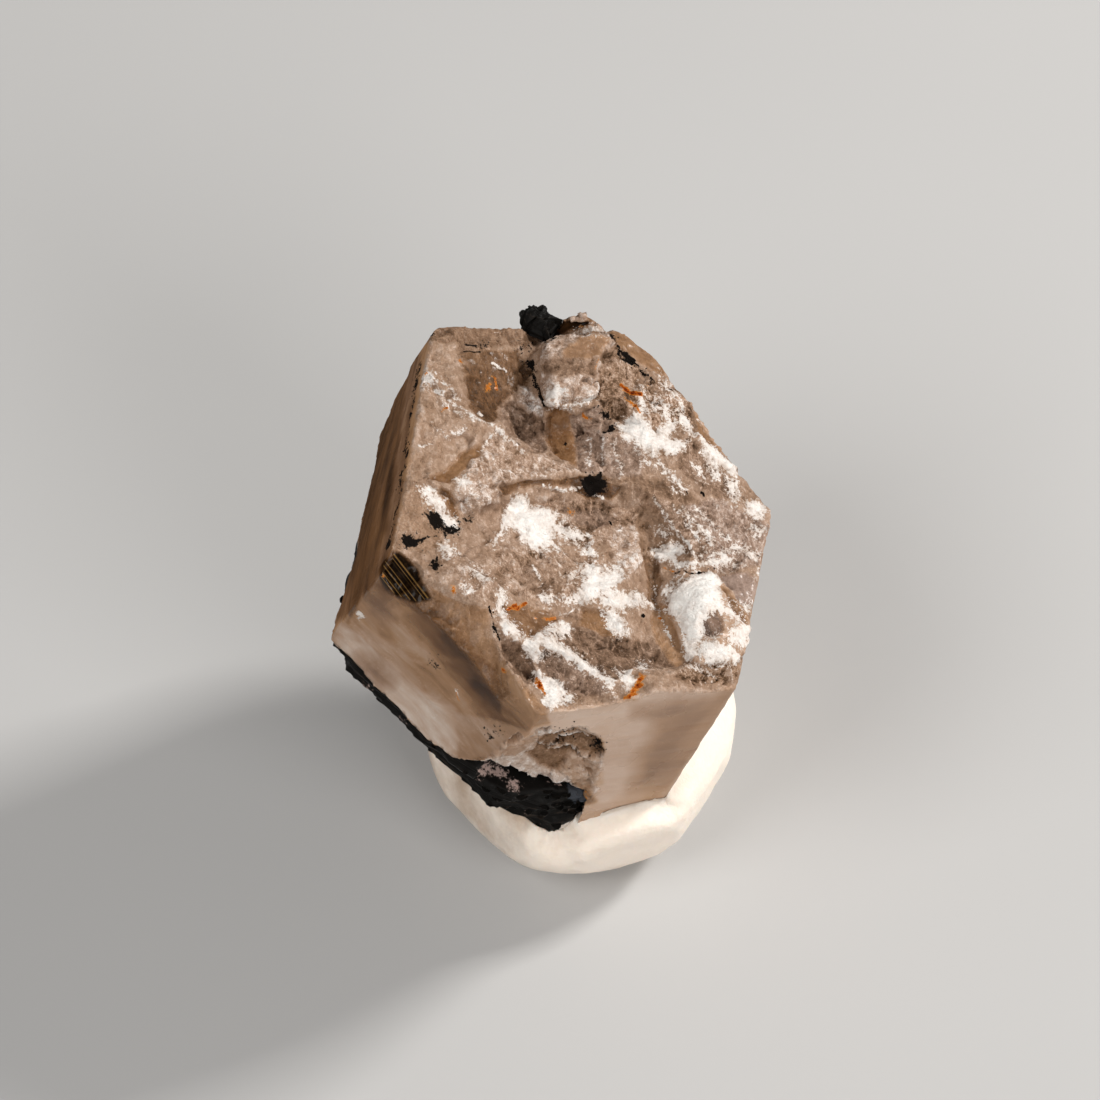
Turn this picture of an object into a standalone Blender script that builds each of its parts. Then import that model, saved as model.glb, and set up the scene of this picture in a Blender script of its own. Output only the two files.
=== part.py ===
"""A stubby phenakite crystal with a broken end and some black mica, stood up in a ball of putty.

The crystal and the mica are shaped in the crystal's own frame, in millimetres: z runs up the
crystal's axis, and z = 0 is the mean level of its broken end. The whole object stands on z = 0
of the world, with the origin under the middle of the putty.
"""

import math
import random

import bmesh
import bpy
from mathutils import Euler, Vector, noise
from mathutils.geometry import delaunay_2d_cdt

MM = 0.001

# Where the middle of the broken end stands, and how the crystal's axis leans.
CRYSTAL_CENTRE_MM = (-0.4, 0.2, 20.0)
CRYSTAL_TURN_DEG = (-2.4, 19.6, -25.1)

# The prism faces: which way each one looks, in degrees round the axis, and its distance from the axis.
PRISM_FACES = {
    "right": (15, 10.0),
    "back_right": (65, 10.05),
    "back": (90, 11.55),
    "back_left": (135, 11.59),
    "left": (195, 9.11),
    "front_left": (255, 10.29),
    "front": (315, 10.90),
}
PRISM_TOP_MM = 4.0
PRISM_FOOT_MM = -16.0

# The left face leans in above this height, and turns a little towards the front.
LEFT_KINK_MM = -2.75
LEFT_LEAN_DEG = 4.8
LEFT_TURN_DEG = 2.5

# Growth ledges: the face each lies on, its depth, then where it starts along the face and up the axis.
GROWTH_LEDGES = (
    ("back_left", 0.45, -9.0, -3.6),
    ("back_right", 0.40, -9.0, -6.4),
    ("back_right", 0.30, 2.2, -10.0),
)
LEDGE_REACH_MM = 30.0

# The shell-shaped scar on the broken front corner: how far along the front face and up the axis
# its middle lies, and its half width, half height and depth.
SCAR_ALONG_MM = -4.1
SCAR_HEIGHT_MM = -9.0
SCAR_SIZE_MM = (4.6, 7.4, 1.2)

# Heights of the broken end just outside the prism faces, going round from the back left corner.
END_RIM = (
    (-11.1, 5.3, 0.0), (-10.3, 1.8, 0.0), (-9.1, -2.3, 0.3), (-8.2, -5.6, 0.4), (-7.3, -8.9, 0.1),
    (-5.4, -9.4, -1.4), (-4.2, -9.5, -0.7), (-2.4, -10.1, -0.7), (-0.4, -10.8, -1.1), (1.8, -11.3, -1.8),
    (3.9, -11.9, -0.1), (5.7, -10.0, -0.1), (7.0, -8.7, -0.1), (7.5, -8.1, 0.4), (8.2, -7.5, 0.9),
    (9.0, -6.7, 0.6), (10.1, -5.6, 0.2), (11.8, -3.9, 0.1), (11.2, -0.6, 0.1), (10.4, 2.4, -0.1),
    (9.6, 5.2, -0.3), (8.8, 7.3, -0.4), (7.3, 8.3, -0.8), (5.9, 9.1, -0.7), (3.5, 10.3, -0.5),
    (1.0, 11.4, -0.4), (-1.5, 11.9, -0.3), (-3.0, 11.9, -0.2), (-4.3, 11.9, 0.2), (-5.1, 11.9, 0.5),
    (-5.9, 11.3, 0.7), (-6.7, 10.9, 0.3), (-6.9, 10.2, -1.7), (-7.4, 9.4, -0.9), (-8.2, 8.6, -0.7),
    (-9.5, 7.2, -0.3), (-10.8, 6.0, 0.1),
)
# Its ridges, beds and ledges, each a line of x, y and height.
END_LINES = {
    "trough_lip": (
        (-8.6, 4.8, -0.1), (-7.9, 2.4, 0.4), (-6.6, 2.0, 0.4), (-5.5, 1.9, 0.6), (-3.0, 2.1, -0.1),
    ),
    "trough_bed": ((-6.9, 4.8, -0.8), (-5.4, 4.6, -1.3), (-3.8, 3.4, -1.4)),
    "trough_back": ((-7.9, 6.4, -0.4), (-6.9, 7.7, -0.9)),
    "slab_wall_foot": ((-6.1, 7.9, -1.3), (-4.8, 6.0, -1.5), (-4.0, 4.4, -1.2)),
    "slab_edge": (
        (-5.6, 8.0, 0.4), (-4.4, 6.3, 0.6), (-3.6, 5.0, 0.5), (-2.7, 5.8, 0.5), (-1.1, 7.6, 0.5),
        (-1.7, 9.9, 0.4), (-3.4, 10.2, 0.4), (-4.8, 9.2, 0.3), (-5.6, 8.0, 0.4),
    ),
    "slab_crown": ((-3.9, 7.6, 0.9), (-2.4, 8.8, 0.7)),
    "slab_front_foot": ((-3.2, 4.5, -0.8), (-2.2, 5.3, -0.6), (-0.7, 7.0, -0.3)),
    "smooth_hollow": ((-2.2, 3.6, -0.7), (-1.4, 4.6, -0.5)),
    "back_gully": ((-5.9, 9.9, -1.7), (-4.8, 10.5, -1.5), (-3.7, 11.0, -0.6)),
    "bevel_line": (
        (-1.3, 10.9, 0.2), (-0.5, 10.2, 0.2), (0.7, 9.5, 0.3),
        (2.8, 8.3, 0.3), (4.9, 7.2, 0.1), (6.7, 6.2, 0.0),
    ),
    "first_rib": ((-0.8, 5.3, 0.2), (0.2, 3.7, 0.0)),
    "second_rib": ((0.7, 6.8, 0.5), (1.7, 4.6, 0.3)),
    "third_rib": ((2.6, 6.8, 0.5), (3.8, 4.8, 0.2)),
    "ledge_top": (
        (-6.9, -3.4, 0.5), (-4.4, -2.5, 0.5), (-3.6, -1.3, 0.4), (-2.9, 0.1, 0.3),
        (-1.4, 1.4, 0.2), (-0.6, 2.5, 0.1), (0.8, 2.9, 0.2), (2.6, 3.6, 0.3),
    ),
    "ledge_foot": (
        (-4.2, -3.2, -0.3), (-3.2, -1.7, -0.5), (-1.0, 0.7, -0.7), (1.1, 2.1, -0.8), (2.7, 2.8, -0.6),
    ),
    "central_floor": ((-1.5, -2.0, -0.6), (0.6, -1.3, -0.8), (1.9, 0.6, -0.9)),
    "spur": ((4.0, 3.1, 0.2), (6.0, 1.9, 0.3), (7.1, 1.5, 0.0)),
    "groove": ((4.5, 1.6, -1.1), (5.0, 0.2, -1.3), (5.8, -1.3, -1.3), (6.0, -2.6, -0.8)),
    "groove_lip": ((3.7, 0.9, -0.6), (4.0, -1.0, -0.3), (5.1, -2.6, -0.4)),
    "shell_crown": ((7.7, -1.1, 0.9), (8.6, -2.1, 1.1), (9.6, -2.8, 0.8)),
    "shell_foot": (
        (8.9, -4.5, 0.1), (7.5, -3.1, -0.4), (6.7, -1.7, -0.3), (6.7, -0.2, -0.1),
        (7.5, 0.9, 0.1), (9.0, 0.9, 0.2), (10.1, 0.0, 0.1),
    ),
    "lower_crest": ((1.4, -8.3, 0.3), (3.1, -8.0, 0.4), (5.9, -7.8, 0.5)),
    "lower_dip": ((1.3, -9.4, -0.5), (3.2, -9.6, -0.6), (5.2, -9.2, -0.2)),
    "hollow_bed": ((1.3, -5.9, -0.5), (3.0, -5.3, -0.8), (4.6, -5.6, -0.9), (6.5, -5.0, -0.6)),
    "step_top": ((1.8, -3.0, -0.3), (3.2, -3.5, -0.2), (4.8, -3.9, -0.1)),
    "front_ridge": (
        (-4.6, -8.5, 0.4), (-2.2, -8.4, 0.7), (-1.2, -8.3, 0.7), (0.0, -9.5, 0.2), (2.1, -10.9, 0.1),
    ),
    "left_knoll": ((-3.9, -6.6, 0.5), (-1.9, -7.0, 0.6), (-0.5, -7.1, 0.3)),
    "corner_chip": ((-6.4, -7.8, 0.3), (-5.2, -7.9, 0.3)),
    "corner_chip_bed": ((-6.2, -8.5, -0.9), (-5.4, -8.6, -1.1)),
}
END_SPOTS = (
    (-9.7, 4.6, 0.1), (-9.0, 1.3, 0.3), (-7.8, -1.5, 0.3), (-6.3, -0.6, 0.2),
    (-6.2, -6.2, 0.3), (-2.7, -4.2, -0.3), (6.2, 4.4, 0.1), (8.4, 3.4, -0.1),
    (7.9, -6.2, 0.5), (9.0, -5.7, 0.3), (6.9, -7.0, 0.3), (-0.4, -5.4, -0.1),
)

# Heights of the broken underside, the same way round: a slab about 7.5 mm thick on the left, and
# the full length on the right.
FOOT_RIM = (
    (-11.3, 5.6, -4.3), (-10.6, 3.5, -7.4), (-9.3, -1.5, -6.8), (-8.6, -4.6, -6.0), (-7.4, -9.1, -7.7),
    (-4.0, -10.0, -8.1), (0.0, -11.0, -8.3), (1.8, -11.5, -7.0), (3.2, -11.8, -5.2), (3.9, -12.0, -4.9),
    (4.8, -11.1, -6.3), (5.9, -10.0, -8.2), (7.4, -8.5, -8.8), (8.1, -7.8, -9.4), (8.4, -7.5, -12.9),
    (11.9, -4.0, -13.2), (9.0, 7.4, -13.0), (-1.0, 12.1, -11.5), (-5.0, 12.1, -8.0), (-8.2, 9.0, -5.5),
)
FOOT_LINES = {
    "corner_roof": ((2.6, -10.4, -7.0), (4.6, -9.0, -8.4), (6.2, -7.6, -8.9)),
    "step_head": (
        (7.7, -6.4, -9.6), (5.6, -4.9, -9.0), (3.5, -2.0, -8.2), (1.5, 3.0, -7.8), (-1.5, 8.0, -7.8),
    ),
    "step_foot": (
        (8.2, -6.2, -12.9), (6.9, -4.0, -12.8), (4.9, -1.0, -12.9), (3.0, 3.5, -12.6), (0.5, 8.5, -12.0),
    ),
}
FOOT_SPOTS = (
    (-6.0, 2.0, -7.3), (-4.0, -5.0, -7.9), (-2.0, 0.0, -7.6),
    (-6.0, 6.5, -6.6), (7.0, 1.0, -13.3), (5.0, 6.0, -13.0),
)

RIM_SPREAD = 1.3
END_SPLITS = 2
FOOT_SPLITS = 1
HACKLE = 0.07
END_SEED = 11
FOOT_SEED = 5

# The mica lies in plates across the crystal's axis, under the slab and in the broken front corner.
SLAB_PLATE_OUTLINE = (
    (-9.2, 3.2), (-8.1, -3.0), (-6.7, -8.1), (-3.2, -9.1), (0.2, -10.1), (2.4, -10.5), (3.2, -8.6),
    (5.4, -6.0), (6.5, 0.0), (4.5, 4.5), (1.5, 9.0), (-3.5, 9.3), (-7.0, 6.3),
)
CORNER_PLATE_OUTLINE = (
    (-9.2, 3.2), (-8.1, -3.0), (-6.7, -8.1), (-3.2, -9.1), (0.2, -10.1), (3.2, -10.7), (5.5, -9.2),
    (7.6, -7.2), (8.0, -6.2), (6.5, 0.0), (4.5, 4.5), (1.5, 9.0), (-3.5, 9.3), (-7.0, 6.3),
)
MICA_ROOT = (8.0, -7.2)
# Each plate: its outline, its upper and lower height, and how far it is drawn in towards the root.
MICA_PLATES = (
    (SLAB_PLATE_OUTLINE, -5.0, -8.3, 0.02),
    (SLAB_PLATE_OUTLINE, -8.2, -9.2, 0.0),
    (CORNER_PLATE_OUTLINE, -9.1, -9.9, 0.06),
    (CORNER_PLATE_OUTLINE, -9.8, -10.9, 0.22),
    (CORNER_PLATE_OUTLINE, -10.8, -11.8, 0.42),
    (CORNER_PLATE_OUTLINE, -11.7, -12.9, 0.68),
)
PLATE_EDGE_STEP_MM = 1.4
PLATE_RAGGEDNESS_MM = 0.3
MICA_SEED = 3

GRAIN_CENTRE_MM = (-6.7, 10.2, -0.9)
GRAIN_RADII_MM = (0.85, 0.65, 0.6)
GRAIN_SEED = 8

GAP_MM = 0.35

# The putty ball: its semi-axes, its waist's height, how wide its flat foot is as a share of the
# waist, and the height below which it tapers straight to the foot.
PUTTY_RADII_MM = (8.0, 9.5, 5.2)
PUTTY_WAIST_MM = 4.5
PUTTY_FOOT_SHARE = 0.69
PUTTY_SKIRT_MM = 2.3
PUTTY_SUNK_SHARE = math.sqrt(1 - (PUTTY_WAIST_MM / PUTTY_RADII_MM[2]) ** 2)
PUTTY_LUMPS_MM = 0.25
PUTTY_LUMP_SIZE_MM = 5.0
# Flats left by thumb and finger: the way each one faces, and its distance from the waist's centre.
PUTTY_FLATS = (
    ((0.35, -0.90, -0.25), 8.55),
    ((0.86, -0.46, -0.2), 7.75),
    ((-0.75, -0.6, 0.1), 7.7),
    ((0.1, 0.95, 0.2), 8.8),
)

CLEAN_DISTANCE = 0.0001 * MM


def clear_scene():
    for thing in list(bpy.data.objects):
        bpy.data.objects.remove(thing, do_unlink=True)


def make_material(name, colour, roughness, metallic=0.0, transmission=0.0):
    material = bpy.data.materials.new(name)
    material.use_nodes = True
    shader = material.node_tree.nodes["Principled BSDF"]
    shader.inputs["Base Color"].default_value = (*colour, 1.0)
    shader.inputs["Roughness"].default_value = roughness
    shader.inputs["Metallic"].default_value = metallic
    shader.inputs["Transmission Weight"].default_value = transmission
    return material


def add_object(name, mesh_data, material=None):
    """Puts a bmesh in the scene as an object and frees it."""
    mesh_data.normal_update()
    bmesh.ops.recalc_face_normals(mesh_data, faces=mesh_data.faces)
    mesh = bpy.data.meshes.new(name)
    mesh_data.to_mesh(mesh)
    mesh_data.free()
    if material:
        mesh.materials.append(material)
    thing = bpy.data.objects.new(name, mesh)
    bpy.context.scene.collection.objects.link(thing)
    return thing


def put_in_crystal_frame(thing):
    thing.location = Vector(CRYSTAL_CENTRE_MM) * MM
    thing.rotation_euler = Euler([math.radians(angle) for angle in CRYSTAL_TURN_DEG])


def hide_helper(thing):
    thing.hide_render = True
    thing.display_type = "WIRE"


def combine(thing, other, operation):
    modifier = thing.modifiers.new(f"{operation.lower()}_{other.name}", "BOOLEAN")
    modifier.operation = operation
    modifier.solver = "EXACT"
    modifier.object = other


def grown_copy(thing, gap_mm):
    """A helper the size of another object plus a gap all over, to cut its seat."""
    copy = thing.copy()
    copy.name = f"{thing.name}_seat"
    bpy.context.scene.collection.objects.link(copy)
    modifier = copy.modifiers.new("gap", "DISPLACE")
    modifier.strength = gap_mm * MM
    modifier.mid_level = 0.0
    hide_helper(copy)
    return copy


def face_direction(face):
    angle = math.radians(PRISM_FACES[face][0])
    return Vector((math.cos(angle), math.sin(angle), 0.0))


def slice_off(mesh_data, point, normal):
    """Removes what lies beyond a plane and closes the cut with a flat face."""
    everything = mesh_data.verts[:] + mesh_data.edges[:] + mesh_data.faces[:]
    cut = bmesh.ops.bisect_plane(
        mesh_data, geom=everything, dist=CLEAN_DISTANCE, plane_co=point, plane_no=normal, clear_outer=True
    )
    edges = [part for part in cut["geom_cut"] if isinstance(part, bmesh.types.BMEdge)]
    bmesh.ops.contextual_create(mesh_data, geom=edges)


def midpoint_height(first, second, seed):
    """The height halfway along an edge, with a hackle that depends only on the edge's place."""
    middle = (first + second) / 2
    length = (first - second).to_2d().length
    middle.z += HACKLE * length * (2 * random.Random(f"{middle.x:.4f} {middle.y:.4f} {seed}").random() - 1)
    return middle


def split_triangles(points, triangles, seed):
    """Cuts every triangle into four, lifting or dropping each new point a little."""
    points = list(points)
    middles = {}

    def middle_of(a, b):
        key = (min(a, b), max(a, b))
        if key not in middles:
            middles[key] = len(points)
            points.append(midpoint_height(points[a], points[b], seed))
        return middles[key]

    smaller = []
    for a, b, c in triangles:
        ab, bc, ca = middle_of(a, b), middle_of(b, c), middle_of(c, a)
        smaller += [(a, ab, ca), (ab, b, bc), (ca, bc, c), (ab, bc, ca)]
    return points, smaller


def broken_surface(rim, lines, spots, splits, seed):
    """A faceted sheet through the rim, the ridge lines and the spots, reaching out past the prism faces."""
    points = []
    edges = []
    for ring in (rim, [(x * RIM_SPREAD, y * RIM_SPREAD, height) for x, y, height in rim]):
        first = len(points)
        points += [Vector(place) for place in ring]
        edges += [(first + i, first + (i + 1) % len(ring)) for i in range(len(ring))]
    for line in lines.values():
        closed = line[0] == line[-1]
        places = line[:-1] if closed else line
        first = len(points)
        points += [Vector(place) for place in places]
        edges += [(first + i, first + i + 1) for i in range(len(places) - 1)]
        if closed:
            edges.append((len(points) - 1, first))
    points += [Vector(place) for place in spots]
    places = [point.to_2d() for point in points]
    flat, _, triangles, origins, _, _ = delaunay_2d_cdt(places, edges, [], 0, 1e-5)
    if any(not origin for origin in origins):
        raise ValueError("two ridge lines cross")
    lifted = [Vector((place.x, place.y, points[origin[0]].z)) for place, origin in zip(flat, origins)]
    for _ in range(splits):
        lifted, triangles = split_triangles(lifted, triangles, seed)
    return lifted, triangles


def sheet_to_block(name, surface, far_height):
    """A helper solid between a broken surface and a flat face at another height."""
    points, triangles = surface
    block = bmesh.new()
    sheet = [block.verts.new(point * MM) for point in points]
    faces = [block.faces.new([sheet[i] for i in triangle]) for triangle in triangles]
    walls = bmesh.ops.extrude_face_region(block, geom=faces)["geom"]
    for part in walls:
        if isinstance(part, bmesh.types.BMVert):
            part.co.z = far_height * MM
    thing = add_object(name, block)
    put_in_crystal_frame(thing)
    hide_helper(thing)
    return thing


def end_block():
    surface = broken_surface(END_RIM, END_LINES, END_SPOTS, END_SPLITS, END_SEED)
    return sheet_to_block("broken_away_above", surface, PRISM_TOP_MM + 4)


def foot_block(name, drop_mm, far_height):
    points, triangles = broken_surface(FOOT_RIM, FOOT_LINES, FOOT_SPOTS, FOOT_SPLITS, FOOT_SEED)
    lowered = [point - Vector((0, 0, drop_mm)) for point in points]
    return sheet_to_block(name, (lowered, triangles), far_height)


def ledge_block(face, depth, along, top, number):
    """A helper box that takes a growth step off a prism face, below a height and beyond a place."""
    distance = PRISM_FACES[face][1]
    out = face_direction(face)
    side = Vector((0, 0, 1)).cross(out)
    corner = out * (distance - depth) + side * along + Vector((0, 0, top))
    block = bmesh.new()
    bmesh.ops.create_cube(block, size=LEDGE_REACH_MM * MM)
    half = LEDGE_REACH_MM / 2
    for vert in block.verts:
        place = vert.co / MM + Vector((half, half, -half))
        vert.co = (corner + out * place.x + side * place.y + Vector((0, 0, place.z))) * MM
    thing = add_object(f"growth_ledge_{number}", block)
    put_in_crystal_frame(thing)
    hide_helper(thing)
    return thing


def scar_block():
    """A helper lens that scoops the broken corner out of the front face."""
    out = face_direction("front")
    side = Vector((0, 0, 1)).cross(out)
    middle = out * PRISM_FACES["front"][1] + side * SCAR_ALONG_MM + Vector((0, 0, SCAR_HEIGHT_MM))
    half_width, half_height, depth = SCAR_SIZE_MM
    lens = bmesh.new()
    bmesh.ops.create_icosphere(lens, subdivisions=3, radius=1.0)
    for vert in lens.verts:
        across, up, inward = vert.co.x * half_width, vert.co.y * half_height, vert.co.z * depth
        vert.co = (middle + side * across + Vector((0, 0, up)) + out * inward) * MM
    thing = add_object("corner_scar", lens)
    put_in_crystal_frame(thing)
    hide_helper(thing)
    return thing


def make_crystal():
    prism = bmesh.new()
    bmesh.ops.create_cube(prism, size=2.0)
    for vert in prism.verts:
        height = PRISM_TOP_MM if vert.co.z > 0 else PRISM_FOOT_MM
        vert.co = Vector((vert.co.x * LEDGE_REACH_MM, vert.co.y * LEDGE_REACH_MM, height)) * MM
    for face, (_, distance) in PRISM_FACES.items():
        slice_off(prism, face_direction(face) * distance * MM, face_direction(face))
    left = face_direction("left")
    kink = left * PRISM_FACES["left"][1] + Vector((0, 0, LEFT_KINK_MM))
    turned = Euler((0, 0, math.radians(LEFT_TURN_DEG))).to_matrix() @ left
    lean = math.radians(LEFT_LEAN_DEG)
    slice_off(prism, kink * MM, turned * math.cos(lean) + Vector((0, 0, math.sin(lean))))
    material = make_material("phenakite", (0.30, 0.21, 0.16), 0.35, transmission=0.5)
    crystal = add_object("phenakite_crystal", prism, material)
    put_in_crystal_frame(crystal)
    combine(crystal, end_block(), "DIFFERENCE")
    combine(crystal, foot_block("broken_away_below", 0.0, PRISM_FOOT_MM - 4), "DIFFERENCE")
    combine(crystal, scar_block(), "DIFFERENCE")
    for number, ledge in enumerate(GROWTH_LEDGES):
        combine(crystal, ledge_block(*ledge, number), "DIFFERENCE")
    return crystal


def plate_outline(corners, drawn_in, jitter):
    """A plate's outline in steps of a millimetre or so, each point pushed a little at random."""
    root = Vector(MICA_ROOT)
    drawn = [root + (Vector(corner) - root) * (1 - drawn_in) for corner in corners]
    outline = []
    for start, end in zip(drawn, drawn[1:] + drawn[:1]):
        steps = max(1, round((end - start).length / PLATE_EDGE_STEP_MM))
        for step in range(steps):
            push = Vector((jitter.uniform(-1, 1), jitter.uniform(-1, 1))) * PLATE_RAGGEDNESS_MM
            outline.append(start.lerp(end, step / steps) + push)
    return outline


def make_plate(name, outline, upper, lower):
    plate = bmesh.new()
    base = plate.faces.new([plate.verts.new((point.x * MM, point.y * MM, lower * MM)) for point in outline])
    raised = bmesh.ops.extrude_face_region(plate, geom=[base])["geom"]
    for part in raised:
        if isinstance(part, bmesh.types.BMVert):
            part.co.z = upper * MM
    return add_object(name, plate)


def make_mica():
    jitter = random.Random(MICA_SEED)
    mica = None
    buried = []
    for number, (corners, upper, lower, drawn_in) in enumerate(MICA_PLATES):
        name = "mica_matrix" if number == 0 else f"mica_plate_{number}"
        plate = make_plate(name, plate_outline(corners, drawn_in, jitter), upper, lower)
        put_in_crystal_frame(plate)
        if mica is None:
            mica = plate
        else:
            hide_helper(plate)
            combine(mica, plate, "UNION")
            buried.append(plate)
    mica.data.materials.append(make_material("black_mica", (0.012, 0.011, 0.010), 0.4))
    combine(mica, foot_block("crystal_above_mica", GAP_MM, PRISM_TOP_MM), "DIFFERENCE")
    return buried


def make_rim_grain():
    jitter = random.Random(GRAIN_SEED)
    grain = bmesh.new()
    bmesh.ops.create_icosphere(grain, subdivisions=2, radius=1.0)
    for vert in grain.verts:
        rough = 1 + jitter.uniform(-0.18, 0.12)
        scaled = Vector([part * radius for part, radius in zip(vert.co, GRAIN_RADII_MM)]) * rough
        vert.co = (scaled + Vector(GRAIN_CENTRE_MM)) * MM
    material = make_material("black_mica_grain", (0.010, 0.009, 0.008), 0.45)
    thing = add_object("mica_rim_grain", grain, material)
    put_in_crystal_frame(thing)
    return thing


def putty_point(direction):
    """Where the putty's surface lies in a direction from its waist's centre."""
    across = Vector(PUTTY_RADII_MM)
    place = Vector([part * radius for part, radius in zip(direction, across)])
    height = place.z + PUTTY_WAIST_MM
    share = direction.to_2d().length
    if 0 < height < PUTTY_SKIRT_MM:
        skirt_share = math.sqrt(1 - ((PUTTY_WAIST_MM - PUTTY_SKIRT_MM) / across.z) ** 2)
        tapered = PUTTY_FOOT_SHARE + (skirt_share - PUTTY_FOOT_SHARE) * height / PUTTY_SKIRT_MM
        place.x *= tapered / share
        place.y *= tapered / share
    elif height <= 0:
        place.x *= PUTTY_FOOT_SHARE / PUTTY_SUNK_SHARE
        place.y *= PUTTY_FOOT_SHARE / PUTTY_SUNK_SHARE
    place *= 1 + PUTTY_LUMPS_MM / across.x * noise.noise(place / PUTTY_LUMP_SIZE_MM)
    for facing, distance in PUTTY_FLATS:
        normal = Vector(facing).normalized()
        beyond = place.dot(normal) - distance
        if beyond > 0:
            place -= normal * beyond * 0.85
    return place + Vector((0, 0, PUTTY_WAIST_MM))


def make_putty(crystal, plates):
    ball = bmesh.new()
    bmesh.ops.create_icosphere(ball, subdivisions=4, radius=1.0)
    for vert in ball.verts:
        vert.co = putty_point(vert.co.normalized()) * MM
    slice_off(ball, Vector((0, 0, 0)), Vector((0, 0, -1)))
    putty = add_object("mounting_putty", ball, make_material("white_putty", (0.80, 0.74, 0.68), 0.75))
    combine(putty, grown_copy(crystal, GAP_MM), "DIFFERENCE")
    for plate in plates:
        combine(putty, grown_copy(plate, 2 * GAP_MM), "DIFFERENCE")
    return putty


def main():
    clear_scene()
    crystal = make_crystal()
    plates = make_mica()
    grain = make_rim_grain()
    combine(crystal, grown_copy(grain, GAP_MM), "DIFFERENCE")
    make_putty(crystal, plates)


main()
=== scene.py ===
import math
import random

import bmesh
import bpy
import numpy as np
from mathutils import Euler, Matrix, Vector, noise
from mathutils.bvhtree import BVHTree
from mathutils.kdtree import KDTree


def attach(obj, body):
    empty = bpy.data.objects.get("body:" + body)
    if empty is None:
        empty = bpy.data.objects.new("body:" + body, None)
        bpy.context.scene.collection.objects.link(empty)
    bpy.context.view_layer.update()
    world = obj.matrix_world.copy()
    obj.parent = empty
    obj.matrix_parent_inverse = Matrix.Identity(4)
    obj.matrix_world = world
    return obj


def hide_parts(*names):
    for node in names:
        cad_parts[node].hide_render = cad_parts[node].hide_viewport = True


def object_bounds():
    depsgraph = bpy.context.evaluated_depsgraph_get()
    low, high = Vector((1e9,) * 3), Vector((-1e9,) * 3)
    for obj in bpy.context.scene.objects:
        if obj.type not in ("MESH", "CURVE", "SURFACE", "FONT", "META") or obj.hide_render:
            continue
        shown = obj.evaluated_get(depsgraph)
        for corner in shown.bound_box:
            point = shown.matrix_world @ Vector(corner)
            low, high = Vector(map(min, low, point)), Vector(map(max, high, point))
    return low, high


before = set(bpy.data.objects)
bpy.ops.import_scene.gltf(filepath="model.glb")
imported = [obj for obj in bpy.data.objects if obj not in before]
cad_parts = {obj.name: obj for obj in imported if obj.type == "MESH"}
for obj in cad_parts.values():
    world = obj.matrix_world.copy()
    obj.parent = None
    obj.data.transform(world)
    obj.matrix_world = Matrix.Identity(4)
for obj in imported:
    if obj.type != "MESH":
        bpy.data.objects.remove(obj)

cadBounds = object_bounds()
mm = 0.001
noise.seed_set(12)  # the vector noises start from a random place without it

# The camera, where the photo was taken from. Lengths in mm, angles in degrees.
shot = {
    "target": (-1.55, 0.0, 17.5),
    "elevation": 50.0,
    "distance": 600.0,
    "frameWidth": 55.0,  # what the frame takes in at the target
    "framePixels": 1100,
    "sensor": 36.0,
}
shotElevation = math.radians(shot["elevation"])
shotTowards = np.array((0, -math.cos(shotElevation), math.sin(shotElevation)))
shotUp = np.array((0, math.sin(shotElevation), math.cos(shotElevation)))
shotPixel = shot["frameWidth"] / shot["framePixels"]  # mm of the object that one pixel of the photo covers


def placeCamera():
    data = bpy.data.cameras.new("photoCamera")
    data.sensor_width = shot["sensor"]
    data.lens = shot["sensor"] * shot["distance"] / shot["frameWidth"]
    data.clip_start = 0.01
    camera = bpy.data.objects.new("photoCamera", data)
    camera.location = (Vector(shot["target"]) + Vector(shotTowards) * shot["distance"]) * mm
    camera.rotation_euler = Vector(shotTowards).to_track_quat("Z", "Y").to_euler()
    bpy.context.scene.collection.objects.link(camera)
    bpy.context.scene.camera = camera


def photoPixels(points):  # where points of the world, in mm, fall in the photo
    offset = points - np.array(shot["target"])
    near = shot["distance"] / (shot["distance"] - offset @ shotTowards)
    half = shot["framePixels"] / 2
    return np.stack([half + offset[:, 0] * near / shotPixel, half - offset @ shotUp * near / shotPixel], axis=1)


placeCamera()
print("camera in place")


# Small tools for shapes

def smoothStep(value, low, high):
    share = np.clip((value - low) / (high - low), 0, 1)
    return share * share * (3 - 2 * share)


def newObject(name, mesh):
    piece = bpy.data.objects.new(name, mesh)
    bpy.context.scene.collection.objects.link(piece)
    return piece


def removeObject(piece):
    mesh = piece.data
    bpy.data.objects.remove(piece)
    bpy.data.meshes.remove(mesh)


def cadCopy(node, name, space):  # a merged copy of a CAD node, in the millimetres of a space
    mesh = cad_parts[node].data.copy()
    mesh.materials.clear()
    mesh.transform(space.inverted())
    data = bmesh.new()
    data.from_mesh(mesh)
    bmesh.ops.remove_doubles(data, verts=data.verts, dist=0.0005)
    bmesh.ops.dissolve_degenerate(data, edges=data.edges, dist=0.0005)
    data.to_mesh(mesh)
    data.free()
    return newObject(name, mesh)


def settleModifiers(piece):  # keeps what the modifiers make as the piece's own mesh
    mesh = bpy.data.meshes.new_from_object(piece.evaluated_get(bpy.context.evaluated_depsgraph_get()))
    piece.modifiers.clear()
    old = piece.data
    piece.data = mesh
    bpy.data.meshes.remove(old)


def remeshOver(base, name, voxel):  # an even mesh that lies on the base's surface
    piece = newObject(name, base.data.copy())
    remesh = piece.modifiers.new("evenMesh", "REMESH")
    remesh.mode = "VOXEL"
    remesh.voxel_size = voxel
    wrap = piece.modifiers.new("ontoBase", "SHRINKWRAP")
    wrap.target = base
    wrap.wrap_method = "NEAREST_SURFACEPOINT"
    settleModifiers(piece)
    return piece


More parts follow.
